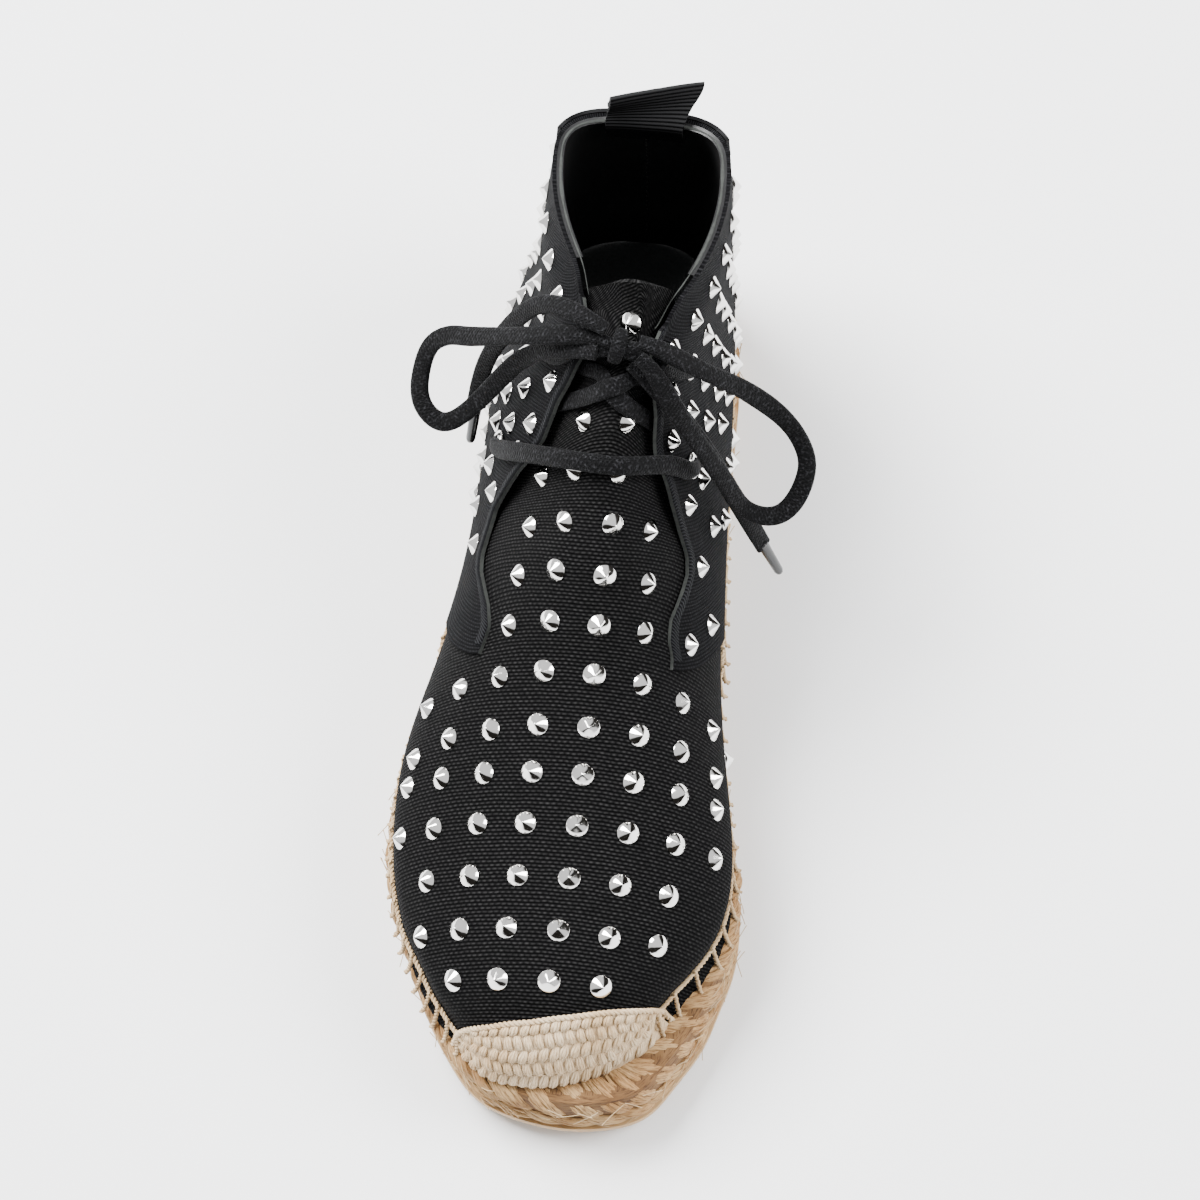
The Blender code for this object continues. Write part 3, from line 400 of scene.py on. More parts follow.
def swept_station(station, angle, has_corner=True):
    """The row's station there: the quarter's edge sweeps back, the collar's corners are rounded."""
    angle = np.asarray(angle, float)
    lateral, medial = [abs(table_angle(FACING_ROWS, station, side)) for side in (-1, 1)]
    facing = np.where(angle >= 0, medial, lateral)
    beyond = smooth_step((np.abs(angle) - facing) / 0.9)
    sweep = QUARTER_SWEEP * math.exp(-((station - QUARTER_FRONT) / 0.8) ** 2) * beyond
    top = np.clip((station - 13.0) / (COLLAR - 13.0), 0, 1) ** 2
    corner = np.exp(-((np.abs(angle) - facing) / 0.16) ** 2)
    return station + sweep - (CORNER_ROUND * top * corner if has_corner and station <= COLLAR else 0)


# ---------------------------------------------------------------- materials

class NodeTree:
    """The nodes of a material or of the surroundings, and short ways to add some."""

    def __init__(self, owner):
        owner.use_nodes = True
        self.nodes, self.links = owner.node_tree.nodes, owner.node_tree.links

    def put(self, socket, value):
        """Links a socket to another's output, or sets it to a number, a direction or a colour."""
        if isinstance(value, bpy.types.NodeSocket):
            self.links.new(value, socket)
        else:
            socket.default_value = (*value, 1) if socket.type == "RGBA" else value

    def add(self, kind, values=None, **settings):
        """Node of that kind; the values go into its inputs, which a number or a name picks."""
        node = self.nodes.new("ShaderNode" + kind)
        for setting, value in settings.items():
            setattr(node, setting, value)
        for socket, value in (values or {}).items():
            self.put(node.inputs[socket], value)
        return node

    def math(self, operation, first, second=0.0, third=0.0):
        """Result of one calculation on numbers or sockets."""
        return self.add("Math", {0: first, 1: second, 2: third}, operation=operation).outputs[0]

    def mix(self, share, first, second):
        """Colour between the first, at share 0, and the second."""
        return self.add("Mix", {0: share, 6: first, 7: second}, data_type="RGBA").outputs[2]


class Finish(NodeTree):
    """A node material: a Principled BSDF and short ways to add the nodes that feed it."""

    def __init__(self, name, colour, roughness, metallic=0.0, **sockets):
        self.material = bpy.data.materials.new(name)
        super().__init__(self.material)
        self.inputs = self.nodes["Principled BSDF"].inputs
        self.put(self.inputs["Base Color"], colour)
        self.put(self.inputs["Roughness"], roughness)
        self.put(self.inputs["Metallic"], metallic)
        for socket, value in sockets.items():
            self.put(self.inputs[socket.replace("_", " ")], value)

    def coordinates(self):
        """Millimetres across and along the piece, from its own map."""
        place = self.add("UVMap", uv_map="fabric").outputs[0]
        split = self.add("SeparateXYZ", {0: place})
        return split.outputs[0], split.outputs[1]

    def noise(self, scale, detail, vector=None, roughness=0.5):
        """Noise from 0 to 1 at so many cells a metre, or a unit of the given vector."""
        if vector is None:
            vector = self.add("TexCoord").outputs["Object"]
        values = {"Scale": scale, "Detail": detail, "Roughness": roughness, "Vector": vector}
        return self.add("TexNoise", values).outputs[0]

    def step(self, value, low, high):
        """0 below low, 1 above high, smooth between."""
        values = {0: value, 1: low, 2: high}
        return self.add("MapRange", values, interpolation_type="SMOOTHSTEP").outputs[0]

    def wave(self, value, pitch, shift=0.0):
        """Half wave of sine, 0 at each whole pitch and 1 between."""
        turns = self.math("ADD", self.math("DIVIDE", value, pitch), shift)
        return self.math("SINE", self.math("MULTIPLY", self.math("FRACT", turns), math.pi))

    def colour(self, share, first, second):
        """Base colour between two tones."""
        self.put(self.inputs["Base Color"], self.mix(share, first, second))

    def roughness(self, value):
        """Roughness from another node's output."""
        self.put(self.inputs["Roughness"], value)

    def bump(self, height, distance):
        """Bump whose height of 1 is that many millimetres."""
        node = self.add("Bump", {"Strength": 1.0, "Distance": distance * MM, "Height": height})
        self.put(self.inputs["Normal"], node.outputs[0])


def plain(name, colour, roughness):
    """Smooth finish of one colour."""
    return Finish(name, colour, roughness).material


def woven(name, dark, light, rib, dash, depth):
    """Plain weave: ribs across the piece, each broken into dashes that alternate from rib to rib."""
    finish = Finish(name, dark, 0.85, Specular_IOR_Level=0.04)
    across, along = finish.coordinates()
    wander = finish.math("MULTIPLY", finish.math("SUBTRACT", finish.noise(180, 2), 0.5), 0.5)
    along = finish.math("ADD", along, wander)
    row = finish.math("FLOOR", finish.math("DIVIDE", along, rib))
    rib_height = finish.wave(along, rib)
    shift = finish.math("MULTIPLY", finish.math("PINGPONG", row, 1.0), 0.5)
    dash_height = finish.wave(finish.math("ADD", across, wander), dash, shift)
    crown = finish.math("MULTIPLY", rib_height, dash_height)
    height = finish.math("ADD", finish.math("MULTIPLY", rib_height, 0.75),
                         finish.math("MULTIPLY", crown, 0.25))
    yarn = finish.step(finish.noise(900, 2), 0.30, 0.72)
    # Painted light and shade: the dashes' crowns get the light colour as a painted highlight, the
    # hollows keep the dark one as painted shade; the yarn noise varies it at random.
    dashes = finish.math("MULTIPLY_ADD", finish.math("POWER", dash_height, 1.5), 0.85, 0.15)
    shine = finish.math("MULTIPLY", finish.math("POWER", rib_height, 2.5), dashes)
    shine = finish.math("MULTIPLY", shine, finish.math("MULTIPLY_ADD", yarn, 0.6, 0.4))
    finish.colour(shine, dark, light)
    finish.bump(height, depth)
    return finish.material


def corded(name, dark, light, pitch, slant, roughness, gloss):
    """Round cords side by side, straight across the piece or slanted as in twill."""
    finish = Finish(name, dark, roughness, Specular_IOR_Level=gloss)
    across, along = finish.coordinates()
    cord = finish.wave(finish.math("MULTIPLY_ADD", across, slant, along), pitch)
    # Painted highlight: each cord's crown gets the light colour, and the hollows between cords get
    # the dark one as painted shade.
    finish.colour(finish.math("POWER", cord, 3.0), dark, light)
    finish.bump(cord, 0.3)
    return finish.material


def lace_finish():
    """Waxed cotton lace: fine plaited yarns with a soft shine and some fuzz."""
    dark, light = (0.0012, 0.0012, 0.0014), (0.019, 0.019, 0.021)
    finish = Finish("black_lace", dark, 0.7, Sheen_Weight=0.015, Sheen_Roughness=0.4,
                    Specular_IOR_Level=0.08)
    across, along = finish.coordinates()
    one = finish.wave(finish.math("ADD", along, across), 1.2)
    other = finish.wave(finish.math("SUBTRACT", along, across), 1.2)
    plait = finish.math("MAXIMUM", one, other)
    fuzz = finish.step(finish.noise(1100, 3), 0.48, 0.70)
    # Pale marks on the plait's crowns where the fuzz noise is: partly pale lint, partly a painted
    # highlight.
    share = finish.math("MULTIPLY", finish.math("POWER", plait, 4.0), fuzz)
    finish.colour(share, dark, light)
    finish.bump(finish.math("MULTIPLY_ADD", fuzz, 0.5, plait), 0.26)
    return finish.material


def fibres(name, painted_shade, middle, pale, streak, depth):
    """Bast or cotton yarn: long streaks along the strand, with painted shade in the hollows between
    them.
    """
    finish = Finish(name, middle, 0.8, Specular_IOR_Level=0.3)
    across, along = finish.coordinates()
    stretched = finish.add("CombineXYZ", {0: finish.math("MULTIPLY", across, streak),
                                          1: finish.math("MULTIPLY", along, streak * 0.11)})
    strands = finish.noise(1.0, 4, stretched.outputs[0], 0.65)
    patches = finish.noise(95, 2)
    tone = finish.mix(finish.step(patches, 0.3, 0.7), middle, pale)
    # Between the streaks, where the bump is low, the colour is painted shade; on them it is the
    # yarn's own tone.
    finish.colour(finish.step(strands, 0.30, 0.56), painted_shade, tone)
    finish.bump(strands, depth)
    return finish.material


def leather(name, colour, roughness, grain, depth):
    """Smooth finish with fine pores; grain is how many there are in a metre."""
    finish = Finish(name, colour, roughness)
    pores = finish.noise(grain, 3)
    finish.bump(pores, depth)
    finish.roughness(finish.math("MULTIPLY_ADD", pores, 0.25, roughness - 0.1))
    return finish.material


def polished_metal():
    """Silver, a little duller in patches."""
    finish = Finish("polished_silver", (0.72, 0.705, 0.68), 0.10, 1.0)
    finish.roughness(finish.math("MULTIPLY_ADD", finish.noise(300, 2), 0.10, 0.05))
    return finish.material


def raw_edge():
    """Cut edge of cloth and backing, seen as a thin grey line."""
    finish = Finish("raw_edge", (0.12, 0.12, 0.12), 0.9)
    finish.colour(finish.noise(700, 2), (0.003, 0.0035, 0.003), (0.030, 0.034, 0.030))
    return finish.material


def tan_rubber():
    """Gum rubber, mottled and slightly rough."""
    finish = Finish("tan_rubber", (0.42, 0.27, 0.12), 0.5)
    finish.colour(finish.noise(120, 3), (0.34, 0.20, 0.085), (0.48, 0.32, 0.16))
    finish.bump(finish.noise(900, 2), 0.08)
    return finish.material


# Canvases: the light colour is a painted highlight on the weave's crowns, the dark one the black
# cloth with painted shade in the hollows.
CANVAS = woven("ribbed_canvas", (0.0006, 0.0006, 0.0007), (0.024, 0.0235, 0.0235), 1.12, 1.8, 0.3)
QUARTER = woven("fine_canvas", (0.0008, 0.0008, 0.001), (0.015, 0.015, 0.0165), 1.05, 1.4, 0.2)
# Bands: the light colour is a painted highlight along each cord's crown, the dark one the black band
# with painted shade between the cords.
BAND = corded("twill_band", (0.0008, 0.0008, 0.001), (0.015, 0.0155, 0.0175), 1.0, 0.75, 0.75, 0.06)
RIBBON = corded("grosgrain", (0.0008, 0.0008, 0.001), (0.009, 0.009, 0.0095), 1.15, 0.0, 0.65, 0.08)
LACE = lace_finish()
# Painted shade between the strands, the middle tone, the pale tone; streaks a millimetre and their
# depth.
ROPE = fibres("jute_rope", (0.095, 0.034, 0.008), (0.30, 0.16, 0.058), (0.46, 0.295, 0.138), 2.6, 0.4)
# The core shows only in the gaps of the plait: it is the rope's jute painted about three times
# darker, as painted shade in those gaps.
PAINTED_SHADE_JUTE = fibres("jute_core_painted_shade", (0.03, 0.011, 0.003), (0.11, 0.052, 0.017), (0.19, 0.10, 0.038), 2.0, 0.3)
YARN = fibres("cream_yarn", (0.27, 0.15, 0.058), (0.48, 0.345, 0.20), (0.60, 0.475, 0.315), 3.4, 0.22)
THREAD = fibres("cream_thread", (0.25, 0.14, 0.055), (0.43, 0.30, 0.168), (0.54, 0.415, 0.255), 5,
                0.12)
LINING = leather("black_lining", (0.0022, 0.0022, 0.0024), 0.45, 2500, 0.05)
INSOLE = leather("dark_insole", (0.0035, 0.0055, 0.0052), 0.38, 1500, 0.08)
METAL = polished_metal()
EDGE = raw_edge()
RUBBER = tan_rubber()
PLASTIC = plain("black_plastic", (0.004, 0.004, 0.0045), 0.25)


# ---------------------------------------------------------------- mesh helpers

def add_piece(name, points, faces, finishes, uvs, finish_of=None, sharp=40):
    """Mesh piece that rides on the shoe. Points and uvs are millimetres, uvs one for each corner."""
    mesh = bpy.data.meshes.new(name)
    mesh.from_pydata((np.asarray(points) * MM).tolist(), [], faces)
    mesh.uv_layers.new(name="fabric").data.foreach_set("uv", np.asarray(uvs, np.float32).ravel())
    for finish in finishes:
        mesh.materials.append(finish)
    if finish_of is not None:
        mesh.polygons.foreach_set("material_index", finish_of)
    shape = bmesh.new()
    shape.from_mesh(mesh)
    loose = [vertex for vertex in shape.verts if not vertex.link_faces]
    bmesh.ops.delete(shape, geom=loose, context="VERTS")
    bmesh.ops.recalc_face_normals(shape, faces=shape.faces)
    shape.to_mesh(mesh)
    shape.free()
    mesh.shade_smooth()
    mesh.set_sharp_from_angle(angle=math.radians(sharp))
    piece = new_object(name, mesh)
    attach(piece, "root")
    return piece


def shell(name, points, finishes, uv, is_filled=None, closed_from=None, has_pole=False,
          sharp=40):
    """Closed shell from a grid of cells: rows along the shoe, columns round it, layers outwards.

    Rows from closed_from on meet themselves at the back, and a pole draws row 0 to one point.
    The finishes are those of the outside, the inside and the rims. All cells are filled unless
    is_filled says otherwise.
    """
    rows, columns, layers = points.shape[:3]
    if is_filled is None:
        is_filled = np.ones((rows - 1, columns - 1, layers - 1), bool)

    def is_solid(i, j, k):
        if closed_from is not None and i >= closed_from:
            j %= columns - 1
        within = 0 <= i < rows - 1 and 0 <= j < columns - 1 and 0 <= k < layers - 1
        return within and is_filled[i, j, k]

    def vertex(i, j, k):
        if has_pole and i == 0:
            j = 0
        if closed_from is not None and i >= closed_from and j == columns - 1:
            j = 0
        return (i * columns + j) * layers + k

    square = ((0, 0), (1, 0), (1, 1), (0, 1))
    faces, uvs, finish_of = [], [], []
    for i, j, k in np.argwhere(is_filled):
        for axis in range(3):
            for end in (0, 1):
                beside = [i, j, k]
                beside[axis] += 1 if end else -1
                if is_solid(*beside):
                    continue
                corners = []
                for first, second in square:
                    corner = [i, j, k]
                    corner[axis] += end
                    corner[(axis + 1) % 3] += first
                    corner[(axis + 2) % 3] += second
                    corners.append(corner)
                numbers = [vertex(*corner) for corner in corners]
                kept = [n for n in range(4) if numbers[n] not in numbers[:n]]
                if len(kept) < 3:
                    continue
                faces.append([numbers[n] for n in kept])
                uvs += [uv[corners[n][0], corners[n][1]] for n in kept]
                finish_of.append((0, 2, 1 - end)[axis])
    finish_of = [min(number, len(finishes) - 1) for number in finish_of]
    return add_piece(name, points.reshape(-1, 3), faces, finishes, uvs, finish_of, sharp)


def cloth_map(points, row, column):
    """Millimetres across from a column and along from a row, measured on the cloth itself."""
    across = run_length(points, 1)
    across -= across[:, column:column + 1]
    along_row = unit(np.gradient(points, axis=1))
    steps = np.diff(points, axis=0)
    middle = (along_row[1:] + along_row[:-1]) / 2
    steps = steps - middle * np.sum(steps * middle, axis=2, keepdims=True)
    length = np.linalg.norm(steps, axis=2)
    along = np.insert(np.cumsum(length, axis=0), 0, 0, axis=0)
    along -= along[row:row + 1]
    return np.stack([across, along], -1)


class Batch:
    """Several closed solids that become one piece."""

    def __init__(self):
        self.points, self.faces, self.uvs, self.count = [], [], [], 0

    def add(self, points, faces, uvs):
        self.points.append(points)
        self.faces += [[corner + self.count for corner in face] for face in faces]
        self.uvs += uvs
        self.count += len(points)

    def finish(self, name, finish, slot, sharp=40):
        return add_piece(name, np.concatenate(self.points), self.faces, [finish], self.uvs,
                         sharp=sharp)


def ring_faces(rings, sides, across, along, is_closed=False):
    """Quads between neighbouring rings of points, with uvs from the distances across and along."""
    faces, uvs = [], []
    for i in range(rings if is_closed else rings - 1):
        ahead = (i + 1) % rings
        for a in range(sides):
            b = (a + 1) % sides
            faces.append((i * sides + a, i * sides + b, ahead * sides + b, ahead * sides + a))
            corners = ((a, i), (a + 1, i), (a + 1, i + 1), (a, i + 1))
            uvs += [(across[n], along[m]) for n, m in corners]
    return faces, uvs


def path_frame(path, facing):
    """Directions along a path and across it, for a band whose flat side looks along facing."""
    tangent = unit(np.gradient(path, axis=0))
    return tangent, unit(np.cross(np.broadcast_to(facing, path.shape), tangent))


def circles(centre, outward, profile, sides, hint):
    """Rings of points round an axis; profile rows are radius and height, the hint sets the start."""
    first = unit(np.cross(outward, hint))
    second = np.cross(outward, first)
    turns = np.linspace(0, 2 * math.pi, sides, endpoint=False)
    circle = np.cos(turns)[:, None] * first + np.sin(turns)[:, None] * second
    return [centre + circle * radius + outward * height for radius, height in profile]


def sweep(batch, path, width, thick, facing, sides, squareness=1.0, shift=0.0):
    """Closed tube along a path, its flat side looking along facing."""
    path = np.asarray(path, float)
    count = len(path)
    tangent, across = path_frame(path, facing)
    up = np.cross(tangent, across)
    turns = np.linspace(0, 2 * math.pi, sides, endpoint=False)
    side_share = np.sign(np.cos(turns)) * np.abs(np.cos(turns)) ** squareness
    up_share = np.sign(np.sin(turns)) * np.abs(np.sin(turns)) ** squareness
    half_width = np.broadcast_to(width, count)[:, None] / 2
    half_thick = np.broadcast_to(thick, count)[:, None] / 2
    rings = (path[:, None] + across[:, None] * (half_width * side_share)[..., None]
             + up[:, None] * (half_thick * up_share)[..., None])
    girth = float(np.mean(half_width + half_thick)) * math.pi
    run = run_length(path) + shift
    round_it = [girth * a / sides for a in range(sides + 1)]
    faces, uvs = ring_faces(count, sides, round_it, run)
    for end, start in ((0, 0), (-1, (count - 1) * sides)):
        faces.append(tuple(range(start, start + sides)))
        uvs += [(distance, run[end]) for distance in round_it[:-1]]
    batch.add(rings.reshape(-1, 3), faces, uvs)


# ---------------------------------------------------------------- laces

def lace_path(route, spacing=0.9):
    """Smooth path through the route's points, at that even spacing."""
    fine = natural_spline(route, np.linspace(0, len(route) - 1, 600))
    return resample(fine, max(12, round(run_length(fine)[-1] / spacing)))


def make_cords():
    """The bow: two loops and two ends of flat lace, and a tip on each end."""
    _, _, back = view_axes()
    squeeze, reach = 0.22, 7.0      # of the lace beside the knot
    made = {}
    for name, route in CORD_ROUTES.items():
        path = lace_path(route)
        run = run_length(path)
        sway = np.sin(run / 17.0 + 0.8 * len(made))[:, None] * np.array([0.35, 0.15, 0.0])
        facing = unit(np.array(back) + sway)
        is_loop = "loop" in name
        narrow = 1 - squeeze * np.exp(-(run / reach) ** 2)
        if is_loop:
            narrow = narrow - squeeze * np.exp(-((run[-1] - run) / reach) ** 2)
        width = LACE_WIDTH * narrow * (1 + 0.04 * np.sin(run / 6.0))
        batch = Batch()
        sweep(batch, path, width, LACE_THICK + 0.2 * np.sin(run / 9.0), facing, 16, 0.75)
        made[name] = batch.finish(name + "_lace", LACE, "lace", 60)
        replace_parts(made[name], name)
        tips = []
        if not is_loop:
            tip_name = name.replace("end", "tip")
            tips = [make_tip(tip_name, np.array(route[-1]), np.array(route[-2]))]


def make_tip(name, end, before):
    """Hard tip, rolled tight round the lace's end."""
    direction = unit(end - before)
    stations = np.array([-1.5, -1.2, 0.0, 6.0, 13.0, 14.0, 14.3])
    radii = np.array([0.9, 1.75, 1.7, 1.55, 1.4, 1.1, 0.5])
    batch = Batch()
    sweep(batch, end + direction * stations[:, None], radii * 2, radii * 2, (0.3, 0.5, 0.8), 16)
    tip = batch.finish(name + "_hard", PLASTIC, "plastic", 50)
    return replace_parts(tip, name)


def make_knot():
    """The wrap that holds the bow, and the lace ends that come out from under it."""
    centre = np.array(KNOT_CENTRE)
    tall, deep = 4.2, 3.1           # radii of the wrap
    batch = Batch()
    turns = np.linspace(0, 2 * math.pi, 40)
    lean = math.radians(38)
    forward = np.array([0.10, -math.sin(lean), math.cos(lean)])
    upward = np.array([0.22, math.cos(lean), math.sin(lean)])
    ring = centre + np.cos(turns)[:, None] * upward * tall + np.sin(turns)[:, None] * forward * deep
    sweep(batch, ring, 3.6 + 0.7 * np.sin(turns), 2.0, unit(ring - centre), 14, 0.8)
    bundle = [
        [(-9, 2.0, -0.6), (-4, 1.2, 1.2), (0, 0.4, 1.4), (4.5, 0.0, 1.2), (9, -0.6, -0.6)],
        [(-9, -2.6, -1.0), (-4, -1.6, 0.4), (0, -1.2, 0.8), (4.5, -2.0, 0.6), (8, -3.8, -1.2)],
    ]
    for strand in bundle:
        x, up, front = natural_spline(strand, np.linspace(0, 4, 26)).T[..., None]
        path = centre + x * np.array([1.0, 0, 0]) + up * upward + front * forward
        sweep(batch, path, 3.8, 2.4, forward, 14, 0.8)
    knot = batch.finish("lace_knot_wrap", LACE, "lace", 60)
    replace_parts(knot, "lace_knot")


def surface_path(route, count):
    """Smooth path over the shoe through (station, degrees, offset, width) rows."""
    rows = natural_spline(route, np.linspace(0, len(route) - 1, count))
    angles = np.radians(rows[:, 1])
    return surface(rows[:, 0], angles, rows[:, 2]), last_normal(rows[:, 0], angles), rows[:, 3]


def make_lace_bars():
    """Lower bar, the crossings on the tongue and the leads to the knot, through the eyelets."""
    on_eyelet, on_facing, on_tongue, under_facing = 6.1, 4.7, 0.95, 0.35
    wide, narrow = LACE_WIDTH, 3.9

    def through(eyelet):
        """Rows that bring the lace up out of an eyelet."""
        station, degrees = EYELETS[eyelet]
        return [(station, degrees + math.copysign(1, degrees), 2.2, narrow),
                (station, degrees, on_eyelet - 0.8, narrow)]

    def under(eyelet):
        """Row where the lace ends beneath an eyelet."""
        station, degrees = EYELETS[eyelet]
        return [(station, degrees + math.copysign(2, degrees), under_facing, narrow)]

    routes = [
        through("eyelet_1")
        + [(10.35, -49, on_eyelet, wide), (10.6, -33, on_facing + 0.2, wide),
           (10.85, -12, on_tongue + 1.2, wide), (10.85, 10, on_tongue + 1.2, wide),
           (10.7, 28, on_facing + 0.2, wide), (10.45, 39, on_eyelet, wide)]
        + through("eyelet_3")[::-1],
        under("eyelet_1")
        + [(11.2, -41, under_facing, 4.6), (12.1, -25, under_facing, 5.2),
           (12.6, -15, on_tongue, 5.2), (13.0, -5, on_tongue + 0.9, 5.4),
           (13.25, 4, on_tongue + 0.4, 5.0), (13.3, 13, under_facing, 4.6),
           (13.0, 30, under_facing, 4.6)]
        + under("eyelet_4"),
        under("eyelet_3")
        + [(11.2, 33, under_facing, 4.6), (12.1, 17, under_facing, 5.2), (13.0, -5, on_tongue, 5.4),
           (13.3, -16, under_facing, 4.4), (12.9, -35, under_facing, 4.4)]
        + under("eyelet_2"),
        through("eyelet_2")
        + [(12.75, -42, on_eyelet, 4.9), (13.1, -34, on_facing + 0.6, wide),
           (13.5, -27, on_facing + 0.4, 4.4)],
        through("eyelet_4")
        + [(12.95, 37, on_eyelet, 4.9), (13.3, 29, on_facing + 0.6, wide),
           (13.7, 21, on_facing + 0.4, 4.4)],
    ]
    batch = Batch()
    for route in routes:
        path, facing, width = surface_path(route, 14 * len(route))
        on_top = np.array(route)[:, 2].max() > 2
        sweep(batch, path, width, LACE_THICK if on_top else 1.4, facing, 14, 0.75)
    bars = batch.finish("lace_bars_woven", LACE, "lace", 60)
    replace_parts(bars, "lace_bars")


# ---------------------------------------------------------------- upper

def grid_rows(stations, counts, offset):
    """Column angles of each row, lateral sole to medial sole; counts are the columns of each span."""
    table = []
    for station in stations:
        halves = []
        for side in (-1, 1):
            facing = float(table_angle(FACING_ROWS, station, side))
            hole = float(table_angle(HOLE_ROWS, station, side))
            end = side * math.pi
            if station < BACK_STATION:
                end = float(wall_angle(station, offset, side))
            shrink = min(1.0, abs(end) / abs(hole) / 1.5)
            marks = [0, facing * shrink, hole * shrink, end]
            spans = [even_angles(station, offset, *span) for span in zip(marks, marks[1:], counts)]
            halves.append(np.concatenate([spans[0][:-1], spans[1][:-1], spans[2]]))
        table.append(np.concatenate([halves[0][::-1], halves[1][1:]]))
    return np.array(table)


def settle_on_midsole(points):
    """Brings the bottom rim of a row to the midsole's clearance."""
    for edge in (0, -1):
        points[edge, ..., 2] = feather(points[edge, ..., 1]) + GAP


def layered(stations, angles, offsets):
    """Points of one row of a shell, with a layer at each of the offsets."""
    return np.stack([surface(stations, angles, offset) for offset in offsets], 1)


def tongue_top(station, angles):
    """How far the tongue's top edge is arched, in stations: down at its sides."""
    arch = TONGUE_ARCH * float(smooth_step((station - 13.8) / 2.0))
    return -arch * (angles / math.radians(36)) ** 2


def tongue_level(station):
    """Offset of the outside of vamp and tongue, which drops where the tongue begins."""
    return VAMP_THICK - TONGUE_DROP * smooth_step((station - 9.2) / 0.9)


def make_vamp():
    """One ribbed canvas from the toe to the tongue's top edge, under the quarters and laces."""
    front = THROAT_FRONT * np.linspace(0, 1, 120) ** 1.2
    tongue = np.linspace(THROAT_FRONT, TONGUE_TOP, 86)[1:]
    stations = np.concatenate([front, tongue])
    counts = (14, 5, 26)
    angles = grid_rows(stations, counts, VAMP_THICK)
    columns = angles.shape[1]
    points = np.zeros((len(stations), columns, 2, 3))
    for i, station in enumerate(stations):
        level = float(tongue_level(station))
        row = swept_station(station, angles[i], has_corner=False)
        row = row + tongue_top(station, angles[i])
        thick = VAMP_THICK if station <= THROAT_FRONT else TONGUE_THICK
        points[i] = layered(row, angles[i], (level - thick, level))
        if station <= THROAT_FRONT:
            settle_on_midsole(points[i])
    from_ridge = np.abs(np.arange(columns - 1) - columns // 2 + 0.5)
    is_filled = np.ones((len(stations) - 1, columns - 1, 1), bool)
    for i, station in enumerate(stations[:-1]):
        if station >= THROAT_FRONT:
            is_filled[i, from_ridge > counts[0] + counts[1] - 1] = False
    uv = cloth_map(points[:, :, 1], nearest(stations, STATION["ball"]), columns // 2)
    vamp = shell("vamp_and_tongue", points, [CANVAS], uv, is_filled, has_pole=True)
    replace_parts(vamp, "tongue", "upper")


def quarter_stations(start, count):
    """Rows from the start to the collar, close together where the sections begin to close."""
    below = np.linspace(start, BACK_STATION - 0.12, count)
    near = BACK_STATION - np.array([0.08, 0.05, 0.03, 0.015, 0.005, 0.0])
    above = np.linspace(BACK_STATION + 0.06, COLLAR, count)
    return np.concatenate([below, near, above])


def facing_lift(station, angle):
    """Small waves of the quarters' free edge."""
    lateral, medial = [abs(table_angle(FACING_ROWS, station, side)) for side in (-1, 1)]
    facing = np.where(angle >= 0, medial, lateral)
    near_edge = np.exp(-((np.abs(angle) - facing) / 0.25) ** 2)
    wave = 0.35 * math.sin(station * 2.1) + 0.25 * math.sin(station * 4.3 + 1.0)
    return near_edge * (0.35 + wave) * float(smooth_step((station - 8.0) / 0.5))


def throat_wall(name, first, rows, counts, grid_offset, layers, gap, finishes, lift_at=None):
    """Shell from facing to facing round the heel.

    The counts are the columns of each span, and gap is how many beside the ridge stay open.
    """
    stations = quarter_stations(first, rows)
    angles = grid_rows(stations, counts, grid_offset)
    columns = angles.shape[1]
    points = np.zeros((len(stations), columns, 2, 3))
    for i, station in enumerate(stations):
        row = swept_station(station, angles[i])
        lift = lift_at(station, angles[i]) if lift_at else 0.0
        points[i] = layered(row, angles[i], [offset + lift for offset in layers])
        if station < BACK_STATION:
            settle_on_midsole(points[i])
    is_filled = np.ones((len(stations) - 1, columns - 1, 1), bool)
    middle = (columns - 1) // 2
    is_filled[:, middle - gap:middle + gap] = False
    uv = cloth_map(points[:, :, 1], 0, columns // 2)
    closed = nearest(stations, BACK_STATION)
    wall = shell(name, points, finishes, uv, is_filled, closed_from=closed)
    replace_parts(wall, "upper")


def make_quarters():
    """Outer quarters, laid over the vamp, from facing to facing round the heel."""
    throat_wall("quarters", QUARTER_FRONT, 46, (1, 8, 40), QUARTER_THICK,
                (VAMP_THICK, QUARTER_THICK), 1, [QUARTER, LINING, EDGE], facing_lift)


def make_lining():
    """Inner wall behind the throat, smooth and black, with a row of stitches down the back."""
    throat_wall("lining", THROAT_FRONT, 30, (1, 1, 34), 0.0, (0.0, VAMP_THICK - 0.05), 2,
                [LINING])
    stitches = Batch()
    back = lace_path(surface(np.linspace(12.3, 14.9, 60), math.pi, -0.1), 0.5)
    for start in range(0, len(back) - 6, 6):
        sweep(stitches, back[start:start + 3], 0.5, 0.5, (0, -1, 0.2), 8)
    stitches.finish("back_stitches", EDGE, "insole")


def edge_angle(station, side, distance, offset):
    """Angle at a distance round the section from the quarter's front edge."""
    start = float(table_angle(FACING_ROWS, station, side))
    fine = start + side * np.linspace(0, 0.9, 80)
    run = run_length(surface(swept_station(station, fine), fine, offset))
    return float(np.interp(distance, run, fine))


